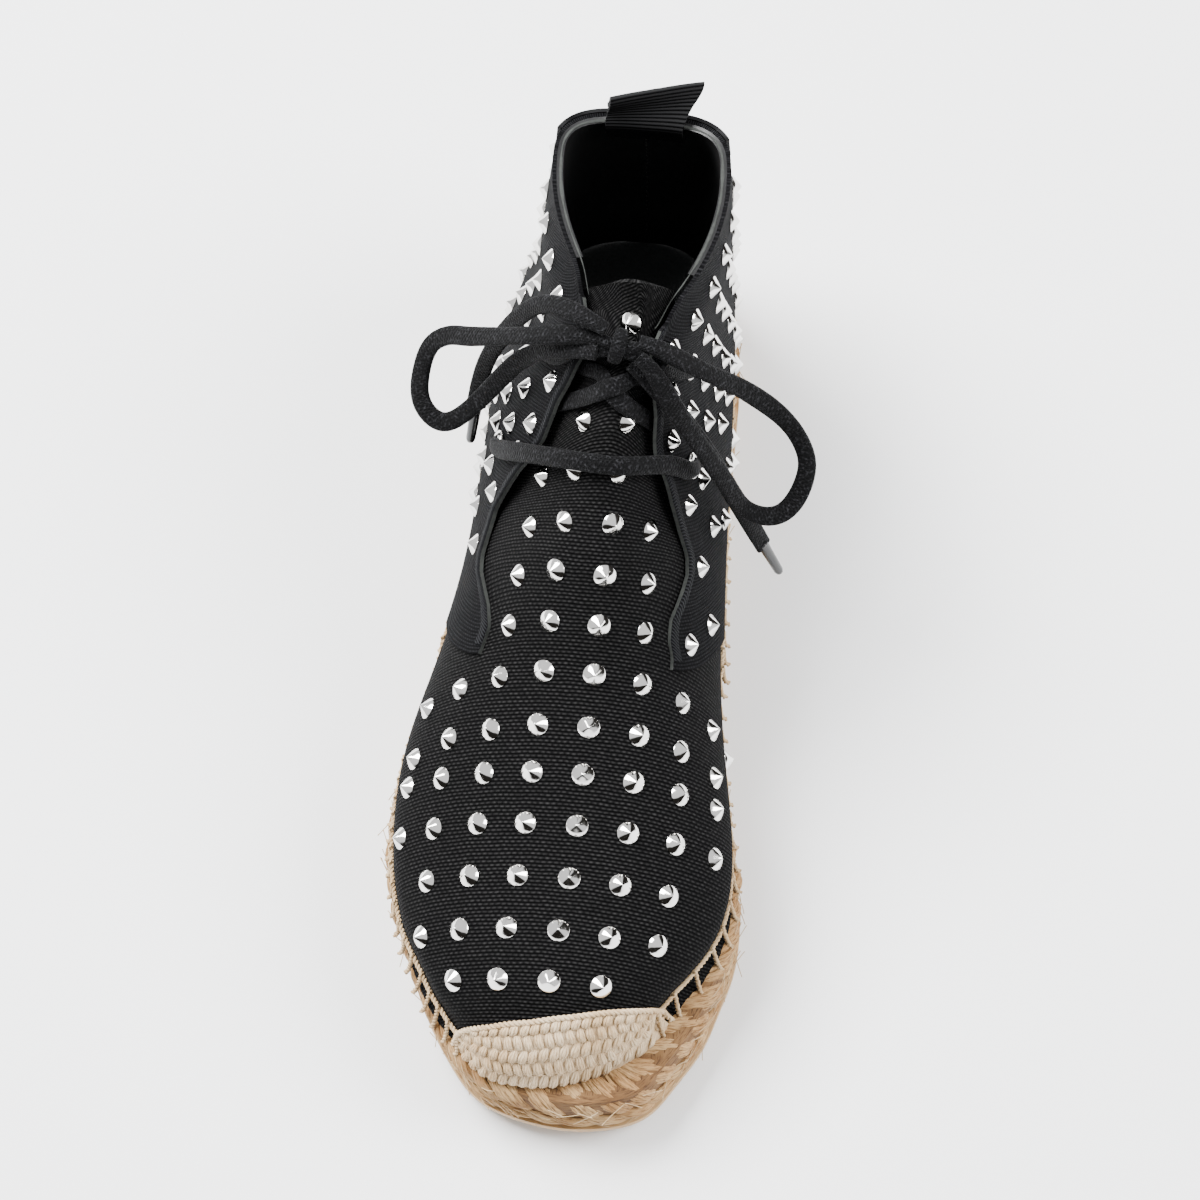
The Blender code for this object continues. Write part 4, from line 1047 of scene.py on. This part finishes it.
def make_facing_bands():
    """Twill band beside each quarter's front edge, bounded by a seam."""
    band_width, rise = 3.6, 0.42
    shares = np.linspace(0.06, 1, 8)
    for name, side in (("lateral", -1), ("medial", 1)):
        stations = np.linspace(QUARTER_FRONT + 0.12, COLLAR - 0.04, 110)
        points = np.zeros((len(stations), len(shares), 2, 3))
        for i, station in enumerate(stations):
            angles = np.array([edge_angle(station, side, share * band_width, QUARTER_THICK)
                               for share in shares])
            row = swept_station(station, angles)
            lift = facing_lift(station, angles)
            crown = rise * (1 - (2 * (shares - 0.53) / 0.94) ** 6)
            points[i] = layered(row, angles, (QUARTER_THICK - 0.1 + lift,
                                              QUARTER_THICK + 0.05 + lift + crown))
        uv = cloth_map(points[:, :, 1], 0, 0)
        uv[..., 0] *= side
        shell("facing_band_" + name, points, [BAND], uv, sharp=60)


def make_collar():
    """Ribbon band round the back of the collar."""
    start = math.radians(118)
    stations = np.linspace(14.55, COLLAR, 8)
    columns = 60
    inner = QUARTER_THICK + GAP
    points = np.zeros((len(stations), columns + 1, 2, 3))
    for i, station in enumerate(stations):
        medial = even_angles(station, inner, start, math.pi, columns // 2)
        lateral = even_angles(station, inner, -math.pi, -start, columns // 2)
        angles = np.concatenate([medial, lateral[1:]])
        points[i] = layered(station, angles, (inner, inner + BAND_THICK))
    band = shell("collar_ribbon", points, [RIBBON], cloth_map(points[:, :, 1], 0, 0))
    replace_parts(band, "collar_band")


def make_collar_edge():
    """Raw grey edge of the lining, showing all round the collar's rim."""
    batch = Batch()
    for side in (-1, 1):
        start = float(table_angle(FACING_ROWS, COLLAR, side))
        angles = np.linspace(start * 1.05, side * (math.pi + 0.02), 160)
        stations = swept_station(float(COLLAR), angles)
        line = surface(stations, angles, 0.75)
        run = run_length(line)
        wide = 0.85 + 0.22 * np.sin(run / 5.3 + side) + 0.20 * np.sin(run / 2.1)
        wide = wide * (0.25 + 0.75 * smooth_step(run / 40.0))
        sweep(batch, line, wide, 0.5, last_normal(stations, angles) * 0.2 + np.array([0, 0, 1.0]), 8)
    batch.finish("collar_raw_edge", EDGE, "canvas")


def make_insole():
    """Padded insole, dished a little, that meets the lining all round."""
    edge, middle, dished, thick = 3.2, 4.2, 0.9, 2.2
    close = back_station(0.0, edge)
    stations = close - (close - 0.6) * np.linspace(1, 0, 90) ** 1.6
    shares = np.linspace(-1, 1, 21)
    points = np.zeros((len(stations), len(shares), 2, 3))
    for i, station in enumerate(stations):
        ends = []
        for side in (-1, 1):
            is_last = i == len(stations) - 1
            angle = side * math.pi if is_last else wall_angle(station, 0.0, side, edge)
            ends.append(surface(station, angle, 0.35))
        for j, share in enumerate(shares):
            place = ends[0] * (1 - share) / 2 + ends[1] * (1 + share) / 2
            dish = dished * (1 - share ** 2) ** 0.5
            place[2] = float(feather(place[1])) + middle - dish
            points[i, j, 1] = place
            points[i, j, 0] = place - np.array([0, 0, thick])
    insole = shell("insole_pad", points, [INSOLE], cloth_map(points[:, :, 1], 0, 10))
    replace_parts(insole, "insole")


def make_pull_loop():
    """Grosgrain ribbon folded over the collar's back, leaning back and twisted to the medial side."""
    half_width, thick, top_height = 11.5, 1.0, 11.5
    lean_across, lean_back = (3.5, 2.1), (6.0, 4.0)     # at the middle, and more at the medial edge
    outer_leg = QUARTER_THICK + GAP + BAND_THICK + 2 * GAP + thick / 2
    inner_leg = -3 * GAP - thick / 2
    back, low = last_point(COLLAR, math.pi), last_point(COLLAR - 1, math.pi)
    wall = np.linalg.norm(back - low)
    slope = (back - low) / wall
    folds = [(-9.0, outer_leg), (-3.0, outer_leg), (1.5, outer_leg - 0.3), (5.0, 3.3),
             (top_height - 3.0, 3.0), (top_height - 0.8, 2.5), (top_height, 1.7),
             (top_height - 0.8, 0.9), (top_height - 3.0, 0.6), (5.0, 0.6), (1.5, inner_leg),
             (-3.0, inner_leg), (-9.0, inner_leg)]
    fine = natural_spline(folds, np.linspace(0, len(folds) - 1, 90))
    near_back = np.linspace(math.pi - 1.2, math.pi, 200)
    columns = 24
    path = np.zeros((len(fine), columns + 1, 3))
    for i, (up, out) in enumerate(fine):
        lean = float(smooth_step((up - 1) / top_height))
        station = COLLAR + min(up, 0.0) / wall
        shares = np.linspace(-1, 1, columns + 1)
        for j, share in enumerate(shares):
            side = 1 if share > 0 else -1
            reach = np.abs(surface(station, side * near_back, out)[:, 0] - back[0])
            angle = side * float(np.interp(-abs(share) * half_width, -reach, near_back))
            place = surface(station, angle, out) + slope * max(up, 0.0)
            leaning = [first + more * share for first, more in (lean_across, lean_back)]
            path[i, j] = place + np.array([*leaning, 0.0]) * lean
    normal = unit(np.cross(np.gradient(path, axis=0), np.gradient(path, axis=1)))
    points = np.stack([path - normal * thick / 2, path + normal * thick / 2], 2)
    run = run_length(path[:, columns // 2])
    across = np.linspace(0, 2 * half_width, columns + 1)
    uv = np.stack(np.broadcast_arrays(across[None, :], run[:, None]), -1)
    loop = shell("pull_loop_ribbon", points, [RIBBON], uv, sharp=60)
    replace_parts(loop, "pull_loop")


def make_eyelets():
    """Rolled metal rings; each has the lace through it."""
    profile = [(2.30, -1.5), (2.30, 1.15), (2.45, 1.5), (2.75, 1.68), (3.15, 1.62), (3.6, 1.38),
               (3.9, 1.05), (4.0, 0.8), (4.0, 0.45), (2.85, 0.45), (2.85, -1.5)]
    sides = 40
    for name, (station, degrees) in EYELETS.items():
        angle = math.radians(degrees)
        lift = float(facing_lift(station, np.array(angle)))
        centre = surface(station, angle, QUARTER_THICK + lift)
        outward = last_normal(station, angle)
        points = np.concatenate(circles(centre, outward, profile, sides, (0.1, 0.2, 1.0)))
        faces, uvs = ring_faces(len(profile), sides, range(sides + 1), range(len(profile) + 1),
                                is_closed=True)
        ring = add_piece(name + "_ring", points, faces, [METAL], uvs, sharp=35)
        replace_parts(ring, name)


# ---------------------------------------------------------------- studs

STUD_PROFILE = [(3.25, -0.6), (3.28, 0.30), (3.12, 0.52), (2.1, 1.28), (1.1, 2.05), (0.42, 2.55),
                (0.16, 2.72), (0.0, 2.76)]
STUD_PITCH = 15.0               # columns across the vamp
STUD_ROW = 14.7                 # rows along it
STUD_FIRST = (2.0, -3.2)        # the lattice's stud nearest the ball
STUD_SLANT = 0.03               # how far the columns lean to the medial side
STUD_SAG = 0.0018               # how the rows above the ball curve towards the toe at their sides
STUD_COLUMNS = {-3: (-2, 1), -2: (-3, 2), -1: (-3, 2), 0: (-4, 3), 1: (-4, 3), 2: (-4, 3), 3: (-4, 4),
                4: (-2, 1), 5: (-2, 1), 6: (-2, 1), 7: (-2, 1), 8: (-1, 0), 9: (0, 0)}
TONGUE_STUD = (14.82, -6.5)     # station and degrees of the one above the knot
QUARTER_STUDS = (9.5, 12.5)     # the first one, from the facing's edge and from the collar


def least(miss):
    """Row and column of a grid's smallest value."""
    return np.unravel_index(np.argmin(miss), miss.shape)


def add_stud(batch, centre, outward):
    """Cone stud on the surface, a solid of revolution about the outward direction."""
    outward, sides = unit(outward), 24
    points = circles(centre, outward, STUD_PROFILE[:-1], sides, (0.013, 0.017, 1.0))
    tip = centre + outward * STUD_PROFILE[-1][1]
    faces, uvs = ring_faces(len(points), sides, range(sides + 1), range(len(STUD_PROFILE)))
    faces.insert(0, tuple(range(sides))[::-1])
    uvs = [(0, 0)] * sides + uvs
    last = (len(points) - 1) * sides
    for a in range(sides):
        faces.append((last + a, last + (a + 1) % sides, last + sides))
        uvs += [(a, last), (a + 1, last), (a, last)]
    batch.add(np.concatenate(points + [tip[None]]), faces, uvs)


def stud_grid(offset, first, last):
    """Stations, angles and points of a fine grid over the upper, for finding places by distance."""
    stations = np.linspace(first, last, 300)
    angles = np.radians(np.linspace(-180, 180, 721))
    table = np.array([swept_station(station, angles, has_corner=False) for station in stations])
    return stations, angles, surface(table, angles, offset), last_normal(table, angles)


def make_vamp_studs():
    """Square lattice of cones on the vamp and the tongue, clear of the quarters and the patch."""
    stations, angles, points, normals = stud_grid(VAMP_THICK, 0.5, 15.4)
    points = points + normals * (tongue_level(stations) - VAMP_THICK)[:, None, None]
    middle = len(angles) // 2
    uv = cloth_map(points, nearest(stations, STATION["ball"]), middle)
    batch = Batch()
    for row, (first, last) in STUD_COLUMNS.items():
        for column in range(first, last + 1):
            along = STUD_FIRST[1] + STUD_ROW * row
            across = STUD_FIRST[0] + STUD_SLANT * along + STUD_PITCH * column
            sag = STUD_SAG * across ** 2 if row > 1 else 0.0
            miss = np.hypot(uv[..., 0] - across, uv[..., 1] - along + sag)
            i, j = least(miss)
            side = 1 if angles[j] >= 0 else -1
            facing = abs(float(table_angle(FACING_ROWS, stations[i], side)))
            if stations[i] > QUARTER_FRONT + 0.25 and abs(angles[j]) > facing - math.radians(3):
                continue
            add_stud(batch, points[i, j], normals[i, j])
    station, angle = TONGUE_STUD[0], math.radians(TONGUE_STUD[1])
    place = surface(station, angle, float(tongue_level(station)))
    add_stud(batch, place, last_normal(station, angle))
    batch.finish("vamp_studs", METAL, "metal", 32)


def make_quarter_studs():
    """The same lattice on the quarters, counted from the collar down and from the facings back."""
    angles_from = {-1: np.linspace(-math.pi, 0, 361)[::-1], 1: np.linspace(0, math.pi, 361)}
    stations = np.linspace(QUARTER_FRONT + 0.2, COLLAR, 150)[::-1]
    eyelets = [surface(station, math.radians(degrees), QUARTER_THICK)
               for station, degrees in EYELETS.values()]
    rows, columns = 9, 12
    lowest, off_lattice, from_eyelet, apart = 11.0, 0.9, 8.5, 10.5
    batch = Batch()
    for side in (-1, 1):
        angles = angles_from[side]
        table = np.array([swept_station(station, angles) for station in stations])
        points, normals = surface(table, angles, QUARTER_THICK), last_normal(table, angles)
        facing = np.abs([float(table_angle(FACING_ROWS, station, side)) for station in stations])
        start = np.argmin(np.abs(np.abs(angles)[None, :] - facing[:, None]), axis=1)
        across = run_length(points, 1)
        across -= across[np.arange(len(points)), start][:, None]
        down = run_length(points)
        above_sole = points[..., 2] - feather(points[..., 1])
        kept = []
        for row in range(rows):
            for column in range(columns):
                miss = np.hypot(across - QUARTER_STUDS[0] - STUD_PITCH * column,
                                down - QUARTER_STUDS[1] - STUD_PITCH * row)
                miss[above_sole < lowest] = np.inf
                i, j = least(miss)
                place = points[i, j]
                near = [np.linalg.norm(place - other) for other in kept]
                near_eyelet = min(np.linalg.norm(place - centre) for centre in eyelets)
                is_crowded = near_eyelet < from_eyelet or (near and min(near) < apart)
                if miss[i, j] > off_lattice or is_crowded:
                    continue
                kept.append(place)
                add_stud(batch, place, normals[i, j])
    batch.finish("quarter_studs", METAL, "metal", 32)


# ---------------------------------------------------------------- sole

def sole_outline(position):
    """Point of the outline: 0 at the toe, positive down the medial side, +-END at the heel."""
    lateral = [(-row[1], row[0]) for row in SOLE_ROWS]
    medial = [(row[2], row[0]) for row in SOLE_ROWS]
    loop = lateral[::-1] + medial[1:]
    wrapped = loop[-5:-1] + loop + loop[1:5]
    return natural_spline(wrapped, np.asarray(position, float) + len(SOLE_ROWS) - 1 + 4)


def loop_inward(loop):
    """Inward direction at each point of the closed outline."""
    tangent = unit(np.roll(loop, -1, axis=0) - np.roll(loop, 1, axis=0))
    return np.stack([-tangent[:, 1], tangent[:, 0]], -1)


def outline_loop(inset, count):
    """Closed outline at even distances, from the heel up the lateral side and back."""
    end = len(SOLE_ROWS) - 1
    fine = sole_outline(np.linspace(-end, end, 1600))
    fine = resample(fine, count + 1)[:-1]
    return fine + loop_inward(fine) * inset


def sole_body(name, profile, finish, node):
    """Slab whose side follows the profile's (height, inset) rows, lifted by the toe spring."""
    count = 361
    rings = []
    for height, inset in profile:
        ring = outline_loop(inset, count)
        rings.append(np.column_stack([ring, height + spring(ring[:, 1])]))
    faces, uvs = ring_faces(len(rings), count, closed_run(rings[0]), run_length(profile))
    uvs = [(down, along) for along, down in uvs]
    points = np.concatenate(rings)
    for level in (0, len(rings) - 1):
        order = np.argsort(rings[level][:, 1])
        toe = int(order[0])
        base = level * count
        for step in range((count - 1) // 2):
            quad = [(toe - step) % count, (toe - step - 1) % count, (toe + step + 1) % count,
                    (toe + step) % count]
            corners = list(dict.fromkeys(quad))
            if len(corners) < 3:
                continue
            faces.append([base + corner for corner in corners])
            uvs += [tuple(points[base + corner, :2]) for corner in corners]
    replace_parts(add_piece(name, points, faces, [finish], uvs), node)


def make_outsole():
    """Thin rubber sheet with a rounded edge."""
    profile = [(0.0, 1.6), (0.35, 1.0), (0.9, 0.65), (2.4, 0.55), (OUTSOLE_THICK, 0.75)]
    sole_body("rubber_outsole", profile, RUBBER, "outsole")


CORE_CLEARANCE = 0.25           # between the rope and the outsole
STRAND_PITCH = 10.0
STRAND_REACH = 15.0             # how far one strand runs along the sole
ROPE_WIDTH = 7.6


def ledge_width(loop):
    """How far the upper's wall stands inside the sole's outline, at each point of the outline."""
    wall = wall_contour(lambda *place: 0.3, VAMP_THICK, 0.02, 1500)[:, :2]
    return np.array([np.min(np.linalg.norm(wall - place, axis=1)) for place in loop])


def rope_strand(batch, path, outward, width, thick, yarns):
    """One fat strand of the plait: its yarns lie side by side over a crown, tapering at the ends."""
    share = np.linspace(0, 1, len(path))
    taper = np.clip(np.sin(np.clip(0.10 + share * 0.84, 0, 1) * math.pi), 0, 1) ** 0.45
    _, across = path_frame(path, outward)
    for yarn in range(yarns):
        place = (yarn + 0.5) / yarns * 2 - 1
        drift = CHANCE.normal(0, 0.05) + 0.10 * np.sin(share * 4 + CHANCE.uniform(0, 6))
        side_step = (place * 0.86 + drift) * width / 2 * taper
        crown = thick * (1 - place ** 2) ** 0.5 * taper - thick * 0.55
        centre = path + across * side_step[:, None] + outward * crown[:, None]
        fat = 1.75 * width / yarns * (0.45 + 0.55 * taper) * (1 + CHANCE.normal(0, 0.08))
        sweep(batch, centre, fat, fat * 0.9, outward, 6, shift=float(CHANCE.uniform(0, 300)))


def make_midsole():
    """Jute plait round the edge: two rows of fat strands that meet in a herringbone, and its core."""
    bottom, top = OUTSOLE_THICK + CORE_CLEARANCE, FEATHER_HEIGHT
    core = [(bottom, 2.6), (bottom + 1.0, 2.2), (top - 4.0, 2.4), (top - 1.2, 3.4), (top, 5.5)]
    # The core's darker jute is painted shade for the gaps between the strands.
    sole_body("jute_core_painted_shade", core, PAINTED_SHADE_JUTE, "midsole")
    loop = outline_loop(0.0, 1800)
    run = closed_run(loop)
    inward = loop_inward(loop)
    ledge = ledge_width(loop)
    count = round(run[-1] / STRAND_PITCH)
    middle = bottom + 0.42 * (top - bottom)
    share = np.linspace(0, 1, 13)
    turn = share * math.pi / 2

    def at(along, table):
        """Rows of a table that goes round the outline, read at distances along it."""
        wrapped = np.vstack([table.reshape(len(loop), -1), table.reshape(len(loop), -1)[:1]])
        return np.stack([np.interp(along % run[-1], run, column) for column in wrapped.T], -1)

    def standing(along, inner, inset, height):
        """Path at distances along the outline, so far inside it and so high over the ground."""
        ground = at(along, loop) + inner * inset[:, None]
        return np.column_stack([ground, height + spring(ground[:, 1])])

    upper, lower = Batch(), Batch()
    for number in range(count):
        start = number * run[-1] / count + CHANCE.normal(0, 0.4)
        along = start + share * STRAND_REACH * (1 + CHANCE.normal(0, 0.05))
        inner = unit(at(along, inward))
        reach = np.clip(at(along, ledge)[:, 0] + 0.6, 2.6, 11.0)
        inset = 1.7 + reach * (1 - np.sin(turn)) + 1.4 * share ** 6
        height = middle + (top + 0.1 - middle) * np.cos(turn) ** 0.75 - 1.0 * share ** 4
        path = standing(along, inner, inset, height)
        outward = np.column_stack([-inner * np.sin(turn)[:, None], 0.25 + np.cos(turn)])
        rope_strand(upper, path, unit(outward), ROPE_WIDTH * (1 + CHANCE.normal(0, 0.04)), 2.3, 7)
    for number in range(count):
        start = (number + 0.5) * run[-1] / count + CHANCE.normal(0, 0.4)
        along = start - share * STRAND_REACH * 1.15
        inner = unit(at(along, inward))
        inset = 1.9 + 1.6 * share ** 5 + 1.0 * (1 - share) ** 4
        height = bottom + 2.0 + (middle - bottom - 2.4) * share
        path = standing(along, inner, inset, height)
        outward = np.column_stack([-inner, np.full(len(inner), -0.12)])
        rope_strand(lower, path, unit(outward), ROPE_WIDTH * 0.8, 2.0, 6)
    upper.finish("jute_plait_upper", ROPE, "jute", 80)
    lower.finish("jute_plait_lower", ROPE, "jute", 80)
    make_loose_fibres(loop, inward)


def make_loose_fibres(loop, inward):
    """Short hairs of jute that stand out of the plait."""
    hairs, thick = 230, 0.26
    batch = Batch()
    for _ in range(hairs):
        number = int(CHANCE.integers(len(loop)))
        inner = np.append(-inward[number], 0.0)
        along = np.append(unit(np.roll(loop, -2, axis=0)[number] - loop[number]), 0.0)
        height = float(CHANCE.uniform(5.0, FEATHER_HEIGHT))
        start = np.append(loop[number] + inward[number] * 1.4, height + spring(loop[number, 1]))
        length = float(CHANCE.uniform(3.5, 9.0))
        heading = unit(along * CHANCE.choice((-1, 1)) + inner * CHANCE.uniform(0.15, 0.5)
                       + np.array([0, 0, CHANCE.uniform(-0.5, 0.4)]))
        bend = inner * CHANCE.uniform(-0.3, 0.12) + np.array([0, 0, CHANCE.uniform(-0.3, 0.2)])
        share = np.linspace(0, 1, 7)[:, None]
        path = start + heading * share * length + bend * share ** 2 * length
        sweep(batch, path, thick, thick, (0.1, 0.2, 1.0), 5)
    batch.finish("loose_fibres", THREAD, "jute", 80)


# ---------------------------------------------------------------- toe patch and stitches

def patch_station(row, angle):
    """Station of a row of the patch, which leans more towards the edge's own line at each row."""
    degrees, stations = np.array(PATCH_EDGE, float).T
    on_ridge = float(np.interp(0, degrees, stations))
    lean = np.interp(np.degrees(angle), degrees, stations) / on_ridge - 1
    return row * (1 + lean * (row / on_ridge) ** 2)


def patch_end(row, offset, side, lift=0.0):
    """Signed angle where a row of the patch comes down to the midsole."""
    angle = side * math.pi / 2
    for _ in range(8):
        angle = float(wall_angle(patch_station(row, angle), offset, side, lift))
    return angle


def patch_grid():
    """Fine grid over the patched toe: points with their normals, and which are above the rope."""
    rows = np.linspace(0.02, PATCH_TOP, 240)[:, None]
    angles = np.radians(np.linspace(-104, 104, 417))[None, :]
    stations = patch_station(rows, angles)
    points = surface(stations, angles, VAMP_THICK)
    normals = last_normal(stations, angles)
    return points, normals, points[..., 2] > feather(points[..., 1]) + GAP


def toe_meridian(grid, x):
    """Path of 60 points up the toe at one x, from the rope to the patch's upper edge."""
    points, normals, is_above = grid
    nearest = np.argmin(np.abs(points[..., 0] - x), axis=1)
    rows = np.arange(len(points))
    picked, outward = points[rows, nearest], normals[rows, nearest]
    keep = (np.abs(picked[:, 0] - x) < 0.6) & is_above[rows, nearest]
    if keep.sum() < 4:
        return None
    return resample(np.hstack([picked[keep], outward[keep]]), 60)


def make_toe_patch():
    """Coarse off-white weave over the toe: a base cloth, rows of plump knots and an edging."""
    rows = PATCH_TOP * np.linspace(0, 1, 34) ** 1.3
    columns = 60
    inner = VAMP_THICK + 0.1
    points = np.zeros((len(rows), columns + 1, 2, 3))
    for i, row in enumerate(rows):
        for k, offset in enumerate((inner, inner + 0.8)):
            ends = [patch_end(row, offset, side) for side in (-1, 1)]
            angles = np.concatenate([even_angles(row, offset, ends[0], 0, columns // 2)[:-1],
                                     even_angles(row, offset, 0, ends[1], columns // 2)])
            points[i, :, k] = surface(patch_station(row, angles), angles, offset)
            settle_on_midsole(points[i, :, k])
    uv = cloth_map(points[:, :, 1], 0, columns // 2)
    base = shell("patch_cloth", points, [YARN], uv, has_pole=True)
    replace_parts(base, "toe_patch")
    make_patch_knots()
    edging = Batch()
    ends = [patch_end(PATCH_TOP, VAMP_THICK, side, 1.0) for side in (-1, 1)]
    angles = np.linspace(ends[0], ends[1], 260)
    stations = patch_station(PATCH_TOP + 0.04, angles)
    line = surface(stations, angles, VAMP_THICK + 1.0)
    outward = last_normal(stations, angles)
    spread = resample(np.hstack([line, outward]), 260)
    twisted_pair(edging, spread[:, :3], spread[:, 3:], 1.7, 2.9)
    edging.finish("patch_edging", YARN, "jute_weave", 80)


KNOT_ROWS = (0.0, 0.27, 0.47, 0.66, 0.84, 1.0)   # shares of the patch's height, taller at the rope
KNOT_PITCH = 2.85


def make_patch_knots():
    """Rows of knots, each of three slanted yarns; the slant changes from row to row."""
    samples = 9
    grid = patch_grid()
    x_places = grid[0][-1, :, 0][grid[2][-1]]
    batch = Batch()
    for row, (low, high) in enumerate(zip(KNOT_ROWS, KNOT_ROWS[1:])):
        shift = KNOT_PITCH / 2 if row % 2 else 0.0
        for x in np.arange(x_places.min() + 1.0 + shift, x_places.max() - 0.8, KNOT_PITCH):
            middle = toe_meridian(grid, x + CHANCE.normal(0, 0.12))
            if middle is None or run_length(middle[:, :3])[-1] < 4:
                continue
            height = run_length(middle[:, :3])[-1]
            first, last = [int(round(share * (len(middle) - 1))) for share in (low, high)]
            piece = resample(middle[first:last + 1], samples)
            tall = (high - low) * height
            slant = (0.55 if row % 2 else -0.55) * min(1.0, tall / 3.0)
            _, across = path_frame(piece[:, :3], piece[:, 3:])
            swell = np.sin(np.linspace(0.12, math.pi - 0.12, samples))
            for yarn in (-1, 0, 1):
                side_step = yarn * 0.78 * (0.55 + 0.45 * swell)
                side_step = side_step + np.linspace(-slant, slant, samples)
                rise = 0.75 + (0.95 - 0.28 * abs(yarn)) * swell * min(1.0, tall / 3.4)
                place = piece[:, :3] + piece[:, 3:] * rise[:, None] + across * side_step[:, None]
                fat = (1.05 + CHANCE.normal(0, 0.05)) * (0.62 + 0.38 * swell)
                sweep(batch, place, fat, fat * 0.95, piece[:, 3:], 7,
                      shift=float(CHANCE.uniform(0, 100)))
    batch.finish("patch_weave", YARN, "jute_weave", 80)


def twisted_pair(batch, path, outward, thick, lay):
    """Two plies twisted round each other along a path; lay is the length of one turn."""
    run = run_length(path)
    _, across = path_frame(path, outward)
    for phase in (0.0, math.pi):
        turn = run / lay * 2 * math.pi + phase
        radius = thick * 0.26
        ply = path + (across * np.cos(turn)[:, None] + outward * np.sin(turn)[:, None]) * radius
        sweep(batch, ply, thick * 0.62, thick * 0.62, outward, 7)


def wall_contour(lift_at, offset, first_station, count):
    """Path round the shoe at a lift above the midsole, lateral toe to medial toe, with normals."""
    close = back_station(offset, float(lift_at(STATION["heel"], 1)))
    stations = close - (close - first_station) * np.linspace(1, 0, 260) ** 2
    halves = []
    for side in (-1, 1):
        angles = wall_angle(stations, offset, side, lift_at(stations, side))
        angles[-1] = side * math.pi
        halves.append(np.hstack([surface(stations, angles, offset), last_normal(stations, angles)]))
    return resample(np.concatenate([halves[0], halves[1][::-1][1:]]), count)


STITCH_LIFT = {-1: 6.6, 1: 10.0}    # of the thread's line above the rope, lateral and medial
STITCH_PITCH = {-1: 5.6, 1: 7.2}    # from leg to leg


def stitch_lift(stations, side):
    """Lift of the thread's line: the medial side's fades into the lateral one's at the heel."""
    fade = smooth_step((STATION["throat"] - np.asarray(stations)) / 3.0)
    return STITCH_LIFT[-1] + (STITCH_LIFT[side] - STITCH_LIFT[-1]) * fade


def make_blanket_stitch():
    """Cream thread: a line along the wall, and a leg from each of its knots down to the rope."""
    thick, lay, samples, leg_samples = 1.45, 2.8, 14, 16
    line = wall_contour(stitch_lift, VAMP_THICK, 0.3, 3000)
    foot = wall_contour(lambda *place: 0.2, VAMP_THICK, 0.3, 3000)
    step = 1.2 * smooth_step((line[:, 1] + 12.0) / 8.0)
    place = line[:, :3] + line[:, 3:] * (0.75 + step)[:, None]
    batch = Batch()
    angles = [patch_end(PATCH_TOP, VAMP_THICK, side, STITCH_LIFT[side]) for side in (-1, 1)]
    ends = [surface(patch_station(PATCH_TOP, angle), angle, VAMP_THICK) for angle in angles]
    first, last = [nearest_point(line[:, :3], end) for end in ends]
    run = run_length(line[:, :3])
    marks = [run[first]]
    while marks[-1] < run[last] - 4:
        side = 1 if line[nearest(run, marks[-1]), 0] > 0 else -1
        marks.append(marks[-1] + STITCH_PITCH[side] * (1 + CHANCE.normal(0, 0.10)))
    knots = [nearest(run, mark) for mark in marks]
    jitter = [CHANCE.normal(0, 0.35) for _ in knots]
    for n, (a, b) in enumerate(zip(knots, knots[1:])):
        path = resample(np.hstack([place[a:b + 1], line[a:b + 1, 3:]]), samples)
        share = np.linspace(0, 1, samples)
        lift = jitter[n] * (1 - share) + jitter[n + 1] * share - 0.5 * np.sin(share * math.pi)
        path[:, 2] += lift
        twisted_pair(batch, path[:, :3], path[:, 3:], thick, lay)
    for n, knot in enumerate(knots):
        outward = line[knot, 3:]
        below = nearest_point(foot[:, :3], line[knot, :3]) + (-3 if line[knot, 0] < 0 else 3)
        ground, away = foot[below, :3], foot[below, 3:]
        bottom = ground + away * (step[knot] + 2.4) - np.array([0, 0, 1.2])
        middle = ground + away * (step[knot] + 1.0) + np.array([0, 0, 1.0])
        start = place[knot] + outward * 0.4 + np.array([0, 0, jitter[n]])
        path = natural_spline([start + np.array([0, 0, 0.9]), start, middle, bottom],
                              np.linspace(0, 3, leg_samples))
        outward = np.broadcast_to(outward, path.shape)
        twisted_pair(batch, resample(path, leg_samples), outward, thick, lay)
    batch.finish("blanket_stitch", THREAD, "jute_weave", 80)


# ---------------------------------------------------------------- the shoe

make_camera()
make_studio()
make_cords()
make_knot()
make_lace_bars()
make_vamp()
make_quarters()
make_lining()
make_facing_bands()
make_collar()
make_collar_edge()
make_insole()
make_pull_loop()
make_eyelets()
make_vamp_studs()
make_quarter_studs()
make_outsole()
make_midsole()
make_toe_patch()
make_blanket_stitch()
